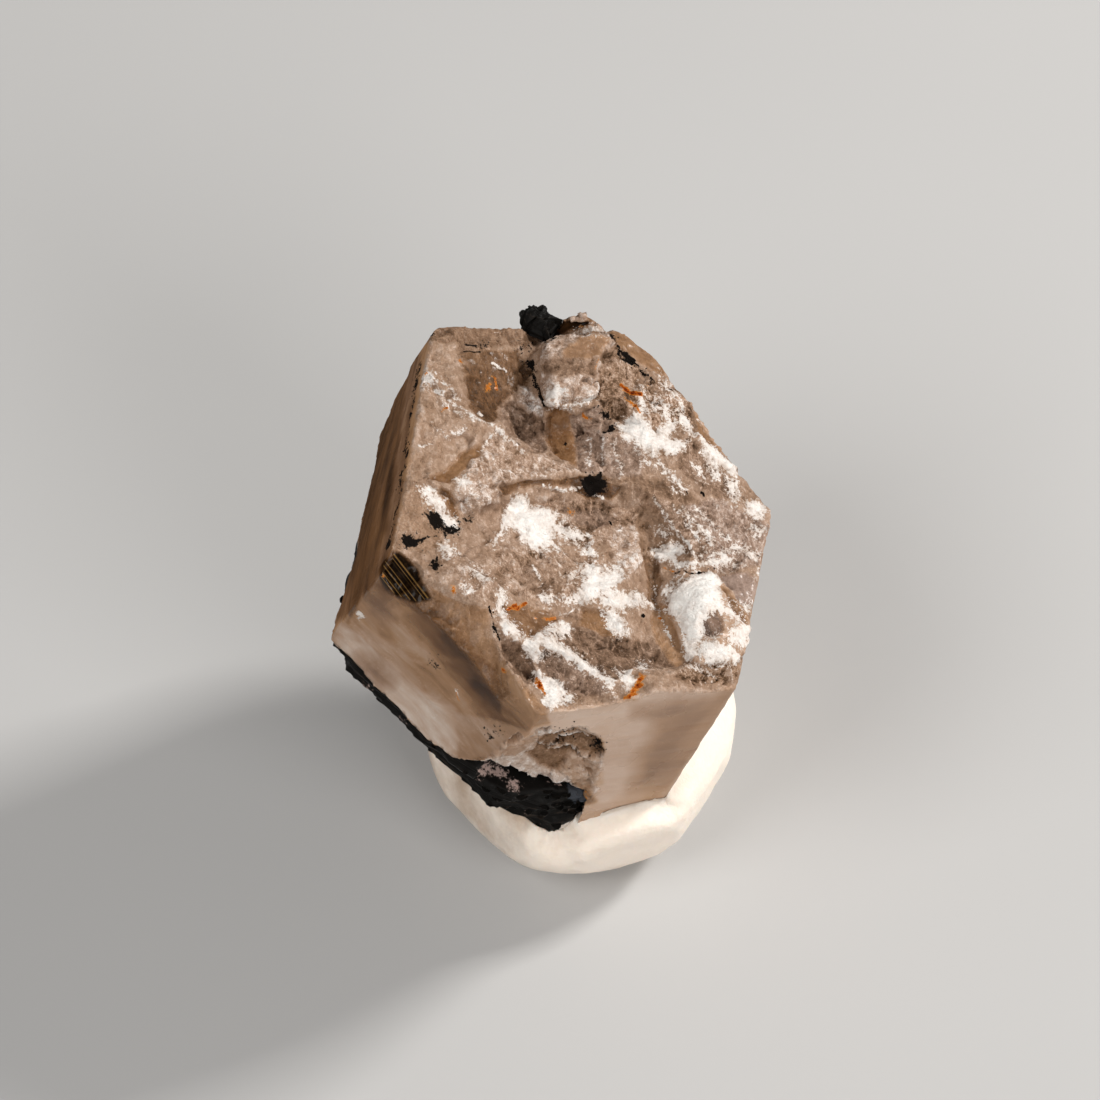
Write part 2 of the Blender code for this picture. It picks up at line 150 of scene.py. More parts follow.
def readPoints(mesh, field="co"):
    values = np.empty(len(mesh.vertices) * 3, np.float32)
    mesh.vertices.foreach_get(field, values)
    return values.reshape(-1, 3).astype(float)


def writePoints(mesh, points):
    mesh.vertices.foreach_set("co", points.astype(np.float32).ravel())
    mesh.update()


def writeAttribute(mesh, name, values):
    attribute = mesh.attributes.new(name, "FLOAT", "POINT")
    attribute.data.foreach_set("value", values.astype(np.float32))


def edgeMeans(mesh, values, rounds):  # each point's value averaged with its neighbours', several times over
    ends = np.empty(len(mesh.edges) * 2, np.int32)
    mesh.edges.foreach_get("vertices", ends)
    first, second = ends.reshape(-1, 2).T
    count = np.bincount(ends, minlength=len(values)).clip(1)[:, None]
    for _ in range(rounds):
        total = np.zeros_like(values)
        np.add.at(total, first, values[second])
        np.add.at(total, second, values[first])
        values = 0.5 * values + 0.5 * total / count
    return values


def finishPiece(piece, space, material, node=None, smooth=True):  # puts a shaped piece in the world and in the frame
    piece.data.transform(space)
    writePoints(piece.data, readPoints(piece.data).clip(*np.array(cadBounds)))  # nothing stands out of the CAD's box
    piece.data.materials.clear()
    piece.data.materials.append(material)
    piece.data.shade_smooth() if smooth else piece.data.shade_flat()
    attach(piece, "root")
    if node:
        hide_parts(node)
    print(piece.name, len(piece.data.polygons), "faces")


# Small tools for finishes

class Wire:  # a socket, or a number, that adds Math nodes when it is used in an expression
    def __init__(self, tree, socket):
        self.tree = tree
        self.socket = socket

    def maths(self, operation, first, second=None, clamp=False):
        node = self.tree.nodes.new("ShaderNodeMath")
        node.operation = operation
        node.use_clamp = clamp
        for slot, value in zip(node.inputs, (first, second)):
            if isinstance(value, Wire):
                self.tree.links.new(value.socket, slot)
            elif value is not None:
                slot.default_value = value
        return Wire(self.tree, node.outputs[0])

    def __add__(self, other):
        return self.maths("ADD", self, other)

    def __radd__(self, other):
        return self.maths("ADD", other, self)

    def __sub__(self, other):
        return self.maths("SUBTRACT", self, other)

    def __rsub__(self, other):
        return self.maths("SUBTRACT", other, self)

    def __mul__(self, other):
        return self.maths("MULTIPLY", self, other)

    def __rmul__(self, other):
        return self.maths("MULTIPLY", other, self)

    def __pow__(self, other):
        return self.maths("POWER", self, other)

    def atLeast(self, other):
        return self.maths("MAXIMUM", self, other)

    def clamped(self):
        return self.maths("ADD", self, 0.0, clamp=True)


class Finish:  # a material that is built node by node
    def __init__(self, name):
        self.material = bpy.data.materials.new(name)
        self.material.use_nodes = True
        self.tree = self.material.node_tree
        self.tree.nodes.clear()

    def node(self, kind, settings=None, inputs=None, output=0):
        made = self.tree.nodes.new(kind)
        for key, value in (settings or {}).items():
            setattr(made, key, value)
        for key, value in (inputs or {}).items():
            if isinstance(value, Wire):
                self.tree.links.new(value.socket, made.inputs[key])
            else:
                made.inputs[key].default_value = value
        return Wire(self.tree, made.outputs[output])

    def objectPlace(self, space=None):  # Object coordinates in mm, in a piece's own space
        place = self.node("ShaderNodeTexCoord", output="Object")
        location, turn, _ = (space or Matrix.Identity(4)).decompose()
        inputs = {"Vector": place, "Location": location, "Rotation": turn.to_euler(), "Scale": (mm, mm, mm)}
        return self.node("ShaderNodeMapping", {"vector_type": "TEXTURE"}, inputs)

    def stretched(self, place, scale, turn=(0, 0, 0)):
        rotation = [math.radians(angle) for angle in turn]
        turned = self.node("ShaderNodeMapping", {"vector_type": "TEXTURE"}, {"Vector": place, "Rotation": rotation})
        return self.node("ShaderNodeMapping", {"vector_type": "POINT"}, {"Vector": turned, "Scale": scale})

    def attribute(self, name):
        return self.node("ShaderNodeAttribute", {"attribute_name": name}, output="Fac")

    def noise(self, place, scale, detail=4, roughness=0.55, distortion=0.0):
        inputs = {"Vector": place, "Scale": scale, "Detail": detail, "Roughness": roughness, "Distortion": distortion}
        return self.node("ShaderNodeTexNoise", None, inputs)

    def cells(self, place, scale, feature="F1", output="Distance"):
        return self.node("ShaderNodeTexVoronoi", {"feature": feature}, {"Vector": place, "Scale": scale}, output)

    def edge(self, value, low, high, start=0.0, end=1.0):
        inputs = {"Value": value, "From Min": low, "From Max": high, "To Min": start, "To Max": end}
        return self.node("ShaderNodeMapRange", {"interpolation_type": "SMOOTHSTEP"}, inputs)

    def blend(self, share, first, second):  # a colour between two
        made = self.tree.nodes.new("ShaderNodeMix")
        made.data_type = "RGBA"
        for slot, value in ((made.inputs[0], share), (made.inputs[6], first), (made.inputs[7], second)):
            if isinstance(value, Wire):
                self.tree.links.new(value.socket, slot)
            else:
                slot.default_value = (*value, 1.0) if isinstance(value, tuple) else value
        return Wire(self.tree, made.outputs[2])

    def ramp(self, value, stops):  # a colour that runs through several stops
        made = self.tree.nodes.new("ShaderNodeValToRGB")
        elements = made.color_ramp.elements
        while len(elements) < len(stops):
            elements.new(0.5)
        for element, (at, colour) in zip(elements, stops):
            element.position = at
            element.color = (*colour, 1.0)
        self.tree.links.new(value.socket, made.inputs[0])
        return Wire(self.tree, made.outputs[0])

    def bump(self, height, depth):
        return self.node("ShaderNodeBump", None, {"Height": height, "Distance": depth * mm})

    def warped(self, place, scale, reach):  # a place pushed about by noise
        push = self.node("ShaderNodeTexNoise", None, {"Vector": place, "Scale": scale, "Detail": 4}, "Color")
        centred = self.node("ShaderNodeVectorMath", {"operation": "SUBTRACT"}, {0: push, 1: (0.5, 0.5, 0.5)})
        return self.node("ShaderNodeVectorMath", {"operation": "MULTIPLY_ADD"}, {0: centred, 1: (reach,) * 3, 2: place})

    def shards(self, place, scale):  # one random number for each angular cell
        shade = self.node("ShaderNodeTexVoronoi", None, {"Vector": place, "Scale": scale}, "Color")
        return self.node("ShaderNodeSeparateColor", None, {0: shade})

    def leaning(self, place, scale):  # the height of small flat facets that each lean their own way
        cell = self.tree.nodes.new("ShaderNodeTexVoronoi")
        self.tree.links.new(place.socket, cell.inputs["Vector"])
        cell.inputs["Scale"].default_value = scale
        inside = self.node("ShaderNodeVectorMath", {"operation": "SUBTRACT"}, {0: place, 1: Wire(self.tree, cell.outputs["Position"])})
        lean = self.node("ShaderNodeVectorMath", {"operation": "SUBTRACT"}, {0: Wire(self.tree, cell.outputs["Color"]), 1: (0.5, 0.5, 0.5)})
        return self.node("ShaderNodeVectorMath", {"operation": "DOT_PRODUCT"}, {0: inside, 1: lean}, "Value")

    def finish(self, surface, volume=None):
        made = self.tree.nodes.new("ShaderNodeOutputMaterial")
        self.tree.links.new(surface.socket, made.inputs["Surface"])
        if volume:
            self.tree.links.new(volume.socket, made.inputs["Volume"])
        return self.material


# The crystal. Its own space is as in the CAD: z up the prism, z = 0 at the mean level of the broken end.
crystal = {
    "centre": (-0.4, 0.2, 20.0),
    "turn": (-2.4, 19.6, -25.1),
    "voxel": 0.212,  # half of this on the broken end, the glassy face and the scar
    "faces": {"right": 15, "backRight": 65, "back": 90, "backLeft": 135, "left": 195, "frontLeft": 255, "front": 315},
    "faceDistances": {
        "right": 10.0, "backRight": 10.05, "back": 11.55, "backLeft": 11.59,
        "left": 9.11, "frontLeft": 10.29, "front": 10.90,
    },
    "largeFacet": (1.7, 0.36, 0.12),  # size of a facet, how far it leans, and how far it steps
    "smallFacet": (0.50, 0.46, 0.07),
    "rubble": 0.08,
    "striation": 0.025,
    "edgeRadius": 0.12,
    "wornCorners": {("left", "backLeft"): (1.3, -4.0, 1.0), ("right", "backRight"): (1.1, -3.0, 0.5)},
    "facetEdge": 0.07,  # how wide the step at the edge of a facet is
    "toneEdge": 0.10,
    "bandEdge": 0.60,  # the same on the prism faces
    "chalkEdge": 0.38,
    "scarEdge": (1.1, 0.50, 0.60, 0.8),  # facets that break up the scar's rim: size, lean, step, and how fast they fade out
    "scarBox": ((430, 690), (630, 850)),  # where that happens, in the photo
}
crystalSpace = Matrix.LocRotScale(
    Vector(crystal["centre"]) * mm, Euler([math.radians(angle) for angle in crystal["turn"]]), Vector((mm, mm, mm))
)

# The facets of the broken end and the bands of the sides, by their outline in the photo's pixels. Then how light
# (0 to 1), how grey against brown, how much frost, the step up in mm, and the slope to the right and downwards.
facets = {
    "plateauTop": (((422, 334), (440, 322), (500, 325), (536, 330), (538, 346), (500, 346), (470, 351), (420, 354)),
                   0.37, 0.1, 0.30, 0.0, (0.0, 0.0)),
    "leftPlateau": (((421, 340), (458, 346), (452, 365), (462, 400), (482, 420), (478, 440), (445, 466), (425, 480),
                     (401, 480), (410, 420), (418, 365)), 0.54, 0, 0.42, 0.04, (0.02, 0.0)),
    "troughSlope": (((457, 356), (480, 350), (520, 350), (531, 375), (522, 393), (500, 386), (478, 373)),
                    0.32, 0, 0.20, -0.04, (-0.10, 0.0)),
    "troughBrown": (((462, 365), (490, 371), (502, 388), (514, 393), (500, 405), (499, 421), (485, 420), (470, 406)),
                    0.28, 0.0, 0.15, -0.12, (-0.12, 0.0)),
    "troughBed": (((500, 404), (520, 402), (529, 413), (546, 420), (545, 456), (526, 451), (510, 431), (499, 420)),
                  0.43, 0.2, 0.60, -0.16, (0.08, 0.0)),
    "troughPatch": (((520, 385), (531, 389), (541, 402), (543, 417), (530, 414), (521, 403)),
                    0.74, 0.3, 1.0, -0.02, (-0.20, 0.0)),
    "smoothV": (((547, 408), (562, 410), (571, 417), (578, 440), (578, 467), (560, 459), (545, 440)),
                0.42, 0.0, 0.0, -0.14, (0.16, 0.05)),
    "slab": (((542, 341), (560, 339), (582, 333), (607, 329), (615, 345), (603, 362), (598, 397), (570, 400),
              (548, 406), (541, 382)), 0.56, 0.2, 0.75, 0.18, (0.04, 0.10)),
    "slabTop": (((560, 353), (590, 335), (609, 340), (604, 358), (585, 363), (562, 363)),
                0.45, 0.1, 0.05, 0.26, (0.0, -0.08)),
    "slabLow": (((545, 362), (598, 362), (596, 376), (560, 378), (544, 372)), 0.31, 0.1, 0.5, 0.17, (0.0, 0.1)),
    "chip": (((542, 307), (566, 303), (586, 312), (600, 320), (576, 330), (556, 334), (545, 326)),
             0.52, 0.1, 0.30, 0.28, (0.0, 0.0)),
    "chipShadow": (((548, 323), (570, 321), (596, 322), (577, 331), (555, 338), (543, 333)),
                   0.15, 0.0, 0.0, -0.16, (0.0, 0.0)),
    "ribRough": (((603, 352), (620, 345), (640, 370), (642, 400), (637, 418), (615, 419), (597, 401), (600, 370)),
                 0.35, 0.05, 0.85, -0.05, (0.12, 0.0)),
    "strands": (((571, 420), (600, 406), (622, 440), (641, 446), (641, 476), (600, 480), (579, 470)),
                0.46, 0.35, 0.60, 0.0, (0.10, 0.0)),
    "fanFrost": (((497, 426), (512, 440), (530, 456), (562, 462), (579, 472), (555, 477), (520, 480), (500, 488),
                  (478, 479), (462, 478), (470, 462), (480, 448)), 0.53, 0.1, 0.90, 0.10, (0.0, 0.12)),
    "smoothLens": (((479, 444), (465, 449), (445, 467), (428, 480), (450, 482), (464, 470), (480, 456)),
                   0.47, 0, 0.0, -0.10, (0.10, 0.10)),
    "underLens": (((457, 480), (480, 481), (500, 491), (499, 502), (472, 508), (463, 516), (454, 495)),
                  0.68, 0.1, 0.85, 0.05, (0.0, 0.0)),
    "bandBrown": (((440, 485), (451, 489), (459, 515), (456, 522), (446, 503)), 0.38, 0.0, 0.0, -0.05, (0.0, 0.0)),
    "leftLower": (((401, 482), (420, 485), (435, 510), (445, 530), (440, 546), (420, 551), (394, 550), (398, 515)),
                  0.5, 0.05, 0.30, 0.0, (0.0, 0.0)),
    "underSheet": (((462, 516), (500, 500), (511, 505), (496, 545), (500, 562), (470, 562), (455, 545)),
                   0.50, 0.05, 0.45, 0.0, (0.0, 0.0)),
    "ledge": (((498, 486), (520, 481), (550, 476), (585, 480), (580, 488), (550, 486), (520, 489), (505, 495)),
              0.35, 0, 0.10, -0.16, (0.0, 0.1)),
    "ovalHalo": (((578, 476), (606, 476), (628, 488), (612, 499), (590, 499), (574, 492)),
                 0.29, 0, 0.0, -0.14, (0.0, 0.0)),
    "domeTop": (((546, 497), (600, 502), (660, 520), (641, 560), (600, 546), (575, 545), (560, 520)),
                0.39, 0.1, 0.75, 0.06, (0.0, 0.06)),
    "domeBrown": (((560, 508), (600, 508), (616, 520), (600, 531), (575, 522)), 0.35, 0.3, 0.55, 0.0, (0.0, 0.1)),
    "domePale": (((602, 532), (620, 522), (640, 524), (641, 560), (630, 575), (615, 560)),
                 0.62, 0.1, 0.80, 0.05, (0.10, 0.0)),
    "centre": (((495, 548), (545, 548), (600, 560), (580, 590), (560, 600), (530, 600), (505, 590), (495, 570)),
               0.50, 0.05, 0.75, -0.02, (0.0, 0.0)),
    "centreDark": (((520, 560), (550, 566), (560, 590), (540, 596), (522, 585)), 0.42, 0.1, 0.55, -0.06, (0.1, 0.0)),
    "leftMottle": (((440, 566), (480, 560), (500, 585), (500, 601), (475, 600), (455, 586)),
                   0.54, 0.1, 0.70, 0.0, (0.0, 0.0)),
    "olive": (((583, 607), (603, 611), (612, 626), (627, 640), (606, 638), (579, 624)),
              0.48, 0, 0.0, -0.08, (0.0, 0.12)),
    "smearFacet": (((502, 601), (545, 609), (561, 618), (545, 628), (528, 637), (514, 626)),
                   0.41, 0, 0.10, -0.12, (0.0, 0.10)),
    "upperDark": (((572, 624), (606, 638), (640, 640), (681, 645), (676, 668), (640, 665), (612, 681), (590, 662),
                   (560, 645), (549, 632)), 0.31, 0.15, 0.55, -0.08, (0.0, -0.08)),
    "lowerDark": (((546, 648), (575, 660), (602, 682), (618, 699), (590, 700), (566, 693), (556, 682), (540, 672),
                   (537, 660)), 0.38, 0.3, 0.65, -0.10, (0.08, 0.08)),
    "lowerFringe": (((560, 692), (600, 696), (628, 690), (640, 700), (600, 705), (558, 708)),
                    0.36, 0, 0.60, 0.0, (0.0, 0.0)),
    "cornerDark": (((495, 622), (505, 640), (520, 642), (530, 655), (537, 672), (541, 692), (525, 681), (510, 669),
                    (501, 655)), 0.37, 0.15, 0.45, -0.20, (0.0, 0.0)),
    "bevelBand": (((430, 586), (455, 600), (488, 607), (491, 630), (500, 660), (520, 682), (547, 710), (530, 708),
                   (505, 694), (485, 671), (465, 651), (450, 626), (437, 605)), 0.49, 0, 0.10, 0.0, (0.0, 0.0)),
    "groove": (((640, 554), (655, 559), (663, 580), (656, 602), (645, 601), (648, 580)),
               0.39, 0, 0.25, -0.10, (0.0, 0.0)),
    "grooveLow": (((655, 602), (671, 604), (682, 625), (687, 650), (681, 669), (668, 661), (655, 640), (650, 618)),
                  0.55, 0, 0.08, -0.07, (0.08, 0.0)),
    "rightBrown": (((640, 503), (660, 511), (672, 530), (692, 556), (660, 551), (640, 553), (636, 525)),
                   0.39, 0, 0.40, -0.06, (0.0, 0.0)),
    "rightRibs": (((650, 494), (680, 510), (713, 545), (705, 560), (690, 555), (672, 525)),
                  0.39, 0.2, 0.75, 0.04, (0.08, 0.0)),
    "mist": (((680, 505), (720, 499), (768, 525), (767, 562), (720, 574), (700, 560), (713, 545)),
             0.48, 0.4, 0.75, 0.0, (0.0, 0.0)),
    "rimBrown": (((604, 322), (630, 333), (660, 356), (690, 393), (714, 422), (739, 458), (727, 456), (700, 436),
                  (684, 405), (665, 379), (640, 364), (615, 344)), 0.44, 0.0, 0.05, -0.06, (-0.05, 0.0)),
    "bevelMottle": (((645, 385), (665, 377), (690, 400), (701, 438), (690, 441), (675, 420), (655, 425), (642, 412)),
                    0.39, 0.05, 1.0, 0.0, (0.0, 0.0)),
    "lowBevel": (((690, 440), (705, 456), (722, 473), (738, 481), (735, 501), (700, 490), (680, 470), (672, 452)),
                 0.38, 0.15, 0.65, 0.0, (0.0, 0.0)),
    "plainMid": (((600, 480), (641, 477), (681, 485), (701, 505), (660, 500), (620, 499), (624, 488)),
                 0.35, 0.05, 0.50, 0.0, (0.0, 0.0)),
    "greyFacet": (((720, 576), (745, 573), (767, 590), (763, 606), (745, 607), (729, 592)),
                  0.51, 0.7, 0.10, -0.08, (0.0, -0.1)),
    "shell": (((690, 577), (712, 573), (730, 590), (750, 620), (750, 645), (735, 663), (700, 665), (684, 655),
               (676, 630), (668, 608), (672, 595)), 0.64, 0.05, 0.12, 0.22, (0.0, 0.0)),
    "shellBrown": (((723, 590), (733, 598), (749, 622), (744, 627), (728, 606)), 0.40, 0.0, 0.1, 0.1, (0.0, 0.0)),
    "shellHollow": (((702, 615), (712, 611), (721, 618), (723, 632), (712, 639), (701, 636)),
                    0.34, 0.5, 0.2, 0.05, (0.0, 0.0)),
    "lip": (((680, 665), (737, 664), (743, 681), (730, 685), (690, 684), (677, 676)), 0.37, 0, 0.85, 0.0, (0.0, 0.0)),
    "glassMiddle": (((362, 598), (400, 600), (440, 655), (470, 692), (480, 716), (455, 706), (420, 670), (380, 637),
                     (348, 628)), 0.60, 0.0, 0.0, 0.0, (0.0, 0.0)),
    "glassBand": (((405, 598), (434, 602), (458, 627), (480, 656), (509, 700), (517, 718), (500, 718), (470, 690),
                   (440, 652), (415, 622)), 0.27, 0.0, 0.0, 0.0, (0.0, 0.0)),
    "glassShade": (((368, 598), (384, 600), (394, 618), (386, 622), (372, 612)), 0.36, 0.3, 0.0, 0.0, (0.0, 0.0)),
    # a pale band along the lower edge of the glassy face, made lighter as painted light: the glow of light shining
    # through the crystal
    "glassPaleGlow": (((338, 628), (360, 632), (394, 656), (430, 692), (454, 722), (470, 752), (440, 774), (396, 738),
                   (358, 702), (334, 664)), 0.84, 0.1, 0.0, 0.0, (0.0, 0.0)),
    "glassGreen": (((360, 658), (376, 661), (391, 681), (380, 686), (364, 674)), 0.42, 0.4, 0.0, 0.0, (0.0, 0.0)),
    "glassDark": (((388, 558), (396, 551), (408, 556), (421, 577), (432, 599), (415, 604), (397, 599), (384, 586),
                   (377, 574), (380, 566)), 0.07, 0.0, 0.05, 0.0, (0.0, 0.0)),
    # painted highlight: a light line along the edge between the left face and the broken end
    "stripHighlight": (((417, 338), (422, 342), (418, 365), (409, 430), (401, 490), (389, 548), (376, 580), (384, 545),
                    (393, 490), (400, 430), (407, 372), (411, 352)), 0.41, 0.15, 0.05, 0.0, (0.0, 0.0)),
    "stripBrown": (((407, 356), (411, 352), (401, 420), (393, 480), (382, 545), (368, 592), (362, 592), (375, 530),
                    (385, 460), (395, 400)), 0.3, 0, 0.05, 0.0, (0.0, 0.0)),
    "stripOuter": (((395, 400), (385, 455), (375, 530), (362, 592), (348, 622), (352, 560), (356, 530), (366, 480),
                    (378, 430)), 0.28, 0, 0.05, 0.0, (0.0, 0.0)),
    "faceLight": (((548, 712), (600, 705), (645, 702), (616, 735), (592, 743), (570, 733)),
                  0.79, 0.08, 0.0, 0.0, (0.0, 0.0)),
    "faceSmudge": (((636, 712), (672, 706), (704, 702), (696, 712), (660, 719)), 0.4, 0.3, 0.0, 0.0, (0.0, 0.0)),
    # The next three are painted shade: the right part of the front face, and bands along its right and bottom edges,
    # made darker.
    "faceEdgeShade": (((737, 688), (728, 692), (690, 745), (653, 792), (668, 790), (702, 745)),
                 0.50, 0.05, 0.0, 0.0, (0.0, 0.0)),
    "faceRightShade": (((660, 722), (700, 708), (733, 692), (690, 745), (655, 790), (632, 790), (640, 752)),
                  0.45, 0.15, 0.0, 0.0, (0.0, 0.0)),
    "faceFootShade": (((556, 824), (610, 811), (655, 790), (657, 802), (610, 824), (560, 836)),
                 0.54, 0.0, 0.0, 0.0, (0.0, 0.0)),
    "scarPlane": (((455, 712), (498, 721), (530, 731), (542, 734), (516, 755), (490, 757), (460, 760)),
                  0.59, 0.15, 0.08, 0.06, (0.0, 0.0)),
    "scarGlass": (((501, 700), (520, 698), (546, 711), (550, 723), (532, 730), (512, 725), (501, 714)),
                  0.49, 0, 0.15, -0.10, (0.1, 0.0)),
    "scarHollow": (((545, 734), (575, 729), (600, 739), (605, 752), (590, 757), (570, 752), (560, 770), (540, 766),
                    (526, 752)), 0.40, 0.0, 0.24, -0.16, (0.0, 0.0)),
    "scarLump": (((570, 754), (602, 756), (602, 786), (585, 786), (570, 779), (560, 768)),
                 0.66, 0, 0.24, 0.12, (0.0, 0.0)),
    "scarRust": (((573, 778), (592, 784), (596, 801), (575, 810), (560, 817), (556, 828), (546, 824), (560, 808),
                  (580, 800), (584, 790)), 0.42, 0.0, 0.24, 0.0, (0.0, 0.0)),
}

# Chalk, the white crust, by its outlines in the photo's pixels, and how strong it is
chalkPatches = {
    "shoulder": (((418, 376), (426, 372), (435, 378), (434, 385), (427, 387), (419, 387)), 0.95),
    "slabFoot": (((550, 393), (557, 387), (563, 394), (567, 401), (552, 401)), 1.0),
    "slabFootBand": (((546, 402), (562, 404), (599, 395), (599, 399), (565, 409), (549, 408)), 0.80),
    "slabTopBand": (((579, 333), (592, 325), (607, 330), (607, 335), (592, 335), (582, 340)), 0.85),
    "lensFoot": (((456, 478), (466, 477), (470, 485), (459, 489)), 0.90),
    "leftBand": (((417, 486), (428, 487), (440, 494), (446, 510), (458, 523), (457, 531), (449, 533), (440, 522),
                  (431, 505), (420, 493)), 0.92),
    "saddle": (((440, 542), (449, 542), (457, 551), (451, 558), (441, 554)), 0.95),
    "sheet": (((517, 497), (525, 499), (528, 508), (549, 509), (557, 515), (553, 530), (550, 541), (545, 550),
               (534, 547), (524, 541), (521, 531), (511, 525), (503, 529), (507, 512)), 1.25),
    "sheetSkirt": (((503, 527), (512, 524), (501, 538), (494, 549), (491, 545)), 0.75),
    "lobe": (((553, 522), (561, 523), (575, 531), (587, 537), (578, 543), (565, 539), (555, 530)), 1.05),
    "lobeLow": (((548, 544), (561, 544), (564, 553), (551, 553)), 0.70),
    "sheetLow": (((573, 544), (592, 547), (602, 557), (589, 557)), 0.75),
    "lowCentre": (((579, 568), (591, 565), (601, 570), (618, 566), (624, 574), (616, 580), (611, 588), (619, 593),
                   (612, 602), (602, 592), (590, 602), (570, 601), (586, 580)), 1.15),
    "lowCentreRight": (((598, 592), (618, 592), (641, 595), (653, 606), (640, 606), (620, 612), (605, 608)), 0.95),
    "lowCentreTop": (((560, 577), (575, 571), (583, 578), (570, 584)), 0.70),
    "speckBelow": (((540, 596), (550, 592), (557, 599), (548, 605)), 0.95),
    "speckBridge": (((558, 597), (573, 597), (572, 601), (558, 601)), 0.75),
    "mottleA": (((469, 567), (482, 571), (493, 580), (485, 583), (473, 577)), 0.90),
    "mottleB": (((461, 582), (470, 583), (473, 590), (463, 591)), 0.80),
    "lowerLeftBand": (((499, 588), (507, 592), (505, 606), (509, 619), (520, 627), (523, 636), (512, 640), (504, 632),
                       (497, 612)), 0.95),
    "ridge": (((523, 640), (538, 634), (553, 639), (576, 653), (595, 664), (613, 681), (609, 684), (590, 670),
               (570, 660), (553, 649), (541, 645), (534, 650), (538, 661), (529, 656)), 1.15),
    "ridgeHead": (((547, 627), (560, 622), (573, 627), (566, 636), (549, 638)), 0.85),
    "ridgeSide": (((536, 650), (548, 646), (556, 652), (550, 663), (541, 663)), 0.68),
    "cleft": (((602, 611), (615, 610), (622, 620), (628, 634), (618, 638), (607, 623)), 1.15),
    "rightBar": (((651, 553), (664, 546), (680, 544), (683, 551), (672, 558), (657, 559)), 1.10),
    "barSpeck": (((656, 529), (664, 526), (672, 533), (668, 538), (658, 534)), 0.75),
    "barLow": (((660, 560), (676, 560), (700, 563), (706, 569), (688, 569), (670, 566)), 0.70),
    "creamCorner": (((536, 673), (545, 680), (563, 686), (561, 700), (552, 708), (545, 700), (540, 689)), 1.30),
    "creamFringe": (((565, 694), (576, 695), (573, 702), (563, 703)), 0.80),
    "lipSpeck": (((616, 669), (628, 671), (635, 680), (628, 692), (621, 681)), 1.05),
    "lipSpeckRight": (((639, 660), (647, 660), (647, 669), (640, 669)), 0.85),
    "slopeRight": (((600, 680), (612, 684), (614, 696), (606, 692)), 0.68),
    "ribHead": (((618, 425), (632, 419), (640, 413), (648, 424), (655, 433), (666, 424), (675, 419), (673, 429),
                 (670, 440), (687, 442), (684, 449), (668, 452), (660, 448), (655, 458), (644, 452), (639, 442),
                 (625, 441)), 1.15),
    "ribEdge": (((640, 383), (645, 384), (644, 416), (639, 414)), 0.85),
    "ribMottle": (((647, 399), (660, 399), (665, 410), (650, 413)), 0.75),
    "ribMottleRight": (((663, 401), (672, 405), (669, 419), (661, 415)), 0.75),
    "bevelInner": (((676, 407), (685, 412), (693, 428), (702, 440), (694, 439), (679, 425)), 0.92),
    "bevelOuter": (((659, 376), (668, 384), (681, 398), (676, 401), (661, 387)), 0.75),
    "bevelWhite": (((699, 439), (718, 449), (735, 458), (739, 470), (730, 473), (722, 470), (705, 456)), 1.05),
    "bevelStep": (((707, 461), (717, 467), (719, 481), (711, 475)), 0.85),
    "bevelFoot": (((725, 477), (738, 481), (740, 500), (733, 503), (727, 490)), 0.88),
    "midSpeck": (((668, 470), (674, 470), (680, 494), (672, 490)), 0.66),
    "midSpeckRight": (((692, 462), (700, 468), (704, 480), (697, 478)), 0.72),
    "cornerWhite": (((746, 501), (760, 501), (767, 511), (758, 519), (749, 513)), 1.10),
    "cornerLow": (((751, 524), (765, 527), (767, 538), (753, 537)), 0.78),
    "edgeWhite": (((758, 558), (769, 564), (767, 586), (757, 578)), 0.72),
    "edgeLow": (((734, 600), (759, 601), (756, 613), (741, 615)), 0.75),
    "mistSpeck": (((700, 556), (735, 552), (742, 566), (715, 572)), 0.62),
    "shellCrown": (((679, 588), (694, 577), (711, 573), (719, 582), (717, 600), (723, 612), (708, 611), (703, 620),
                    (701, 640), (697, 656), (689, 660), (686, 648), (690, 634), (681, 620), (668, 608), (671, 597)), 1.5),
    "shellFoot": (((703, 644), (716, 643), (737, 658), (732, 663), (710, 664), (699, 654)), 1.15),
    "shellBridge": (((702, 636), (718, 634), (718, 641), (704, 641)), 0.9),
    "shellRight": (((728, 632), (736, 625), (748, 632), (745, 645), (736, 649), (729, 642)), 1.05),
    "shellWedge": (((718, 600), (730, 602), (743, 618), (741, 629), (726, 622), (721, 612)), 0.72),
    "shellRim": (((667, 601), (663, 590), (672, 581), (683, 576), (685, 580), (672, 591)), 0.74),
    "lipMottle": (((685, 668), (695, 663), (706, 670), (700, 676)), 0.74),
    "lipMottleRight": (((704, 672), (717, 677), (713, 681), (704, 679)), 0.70),
}
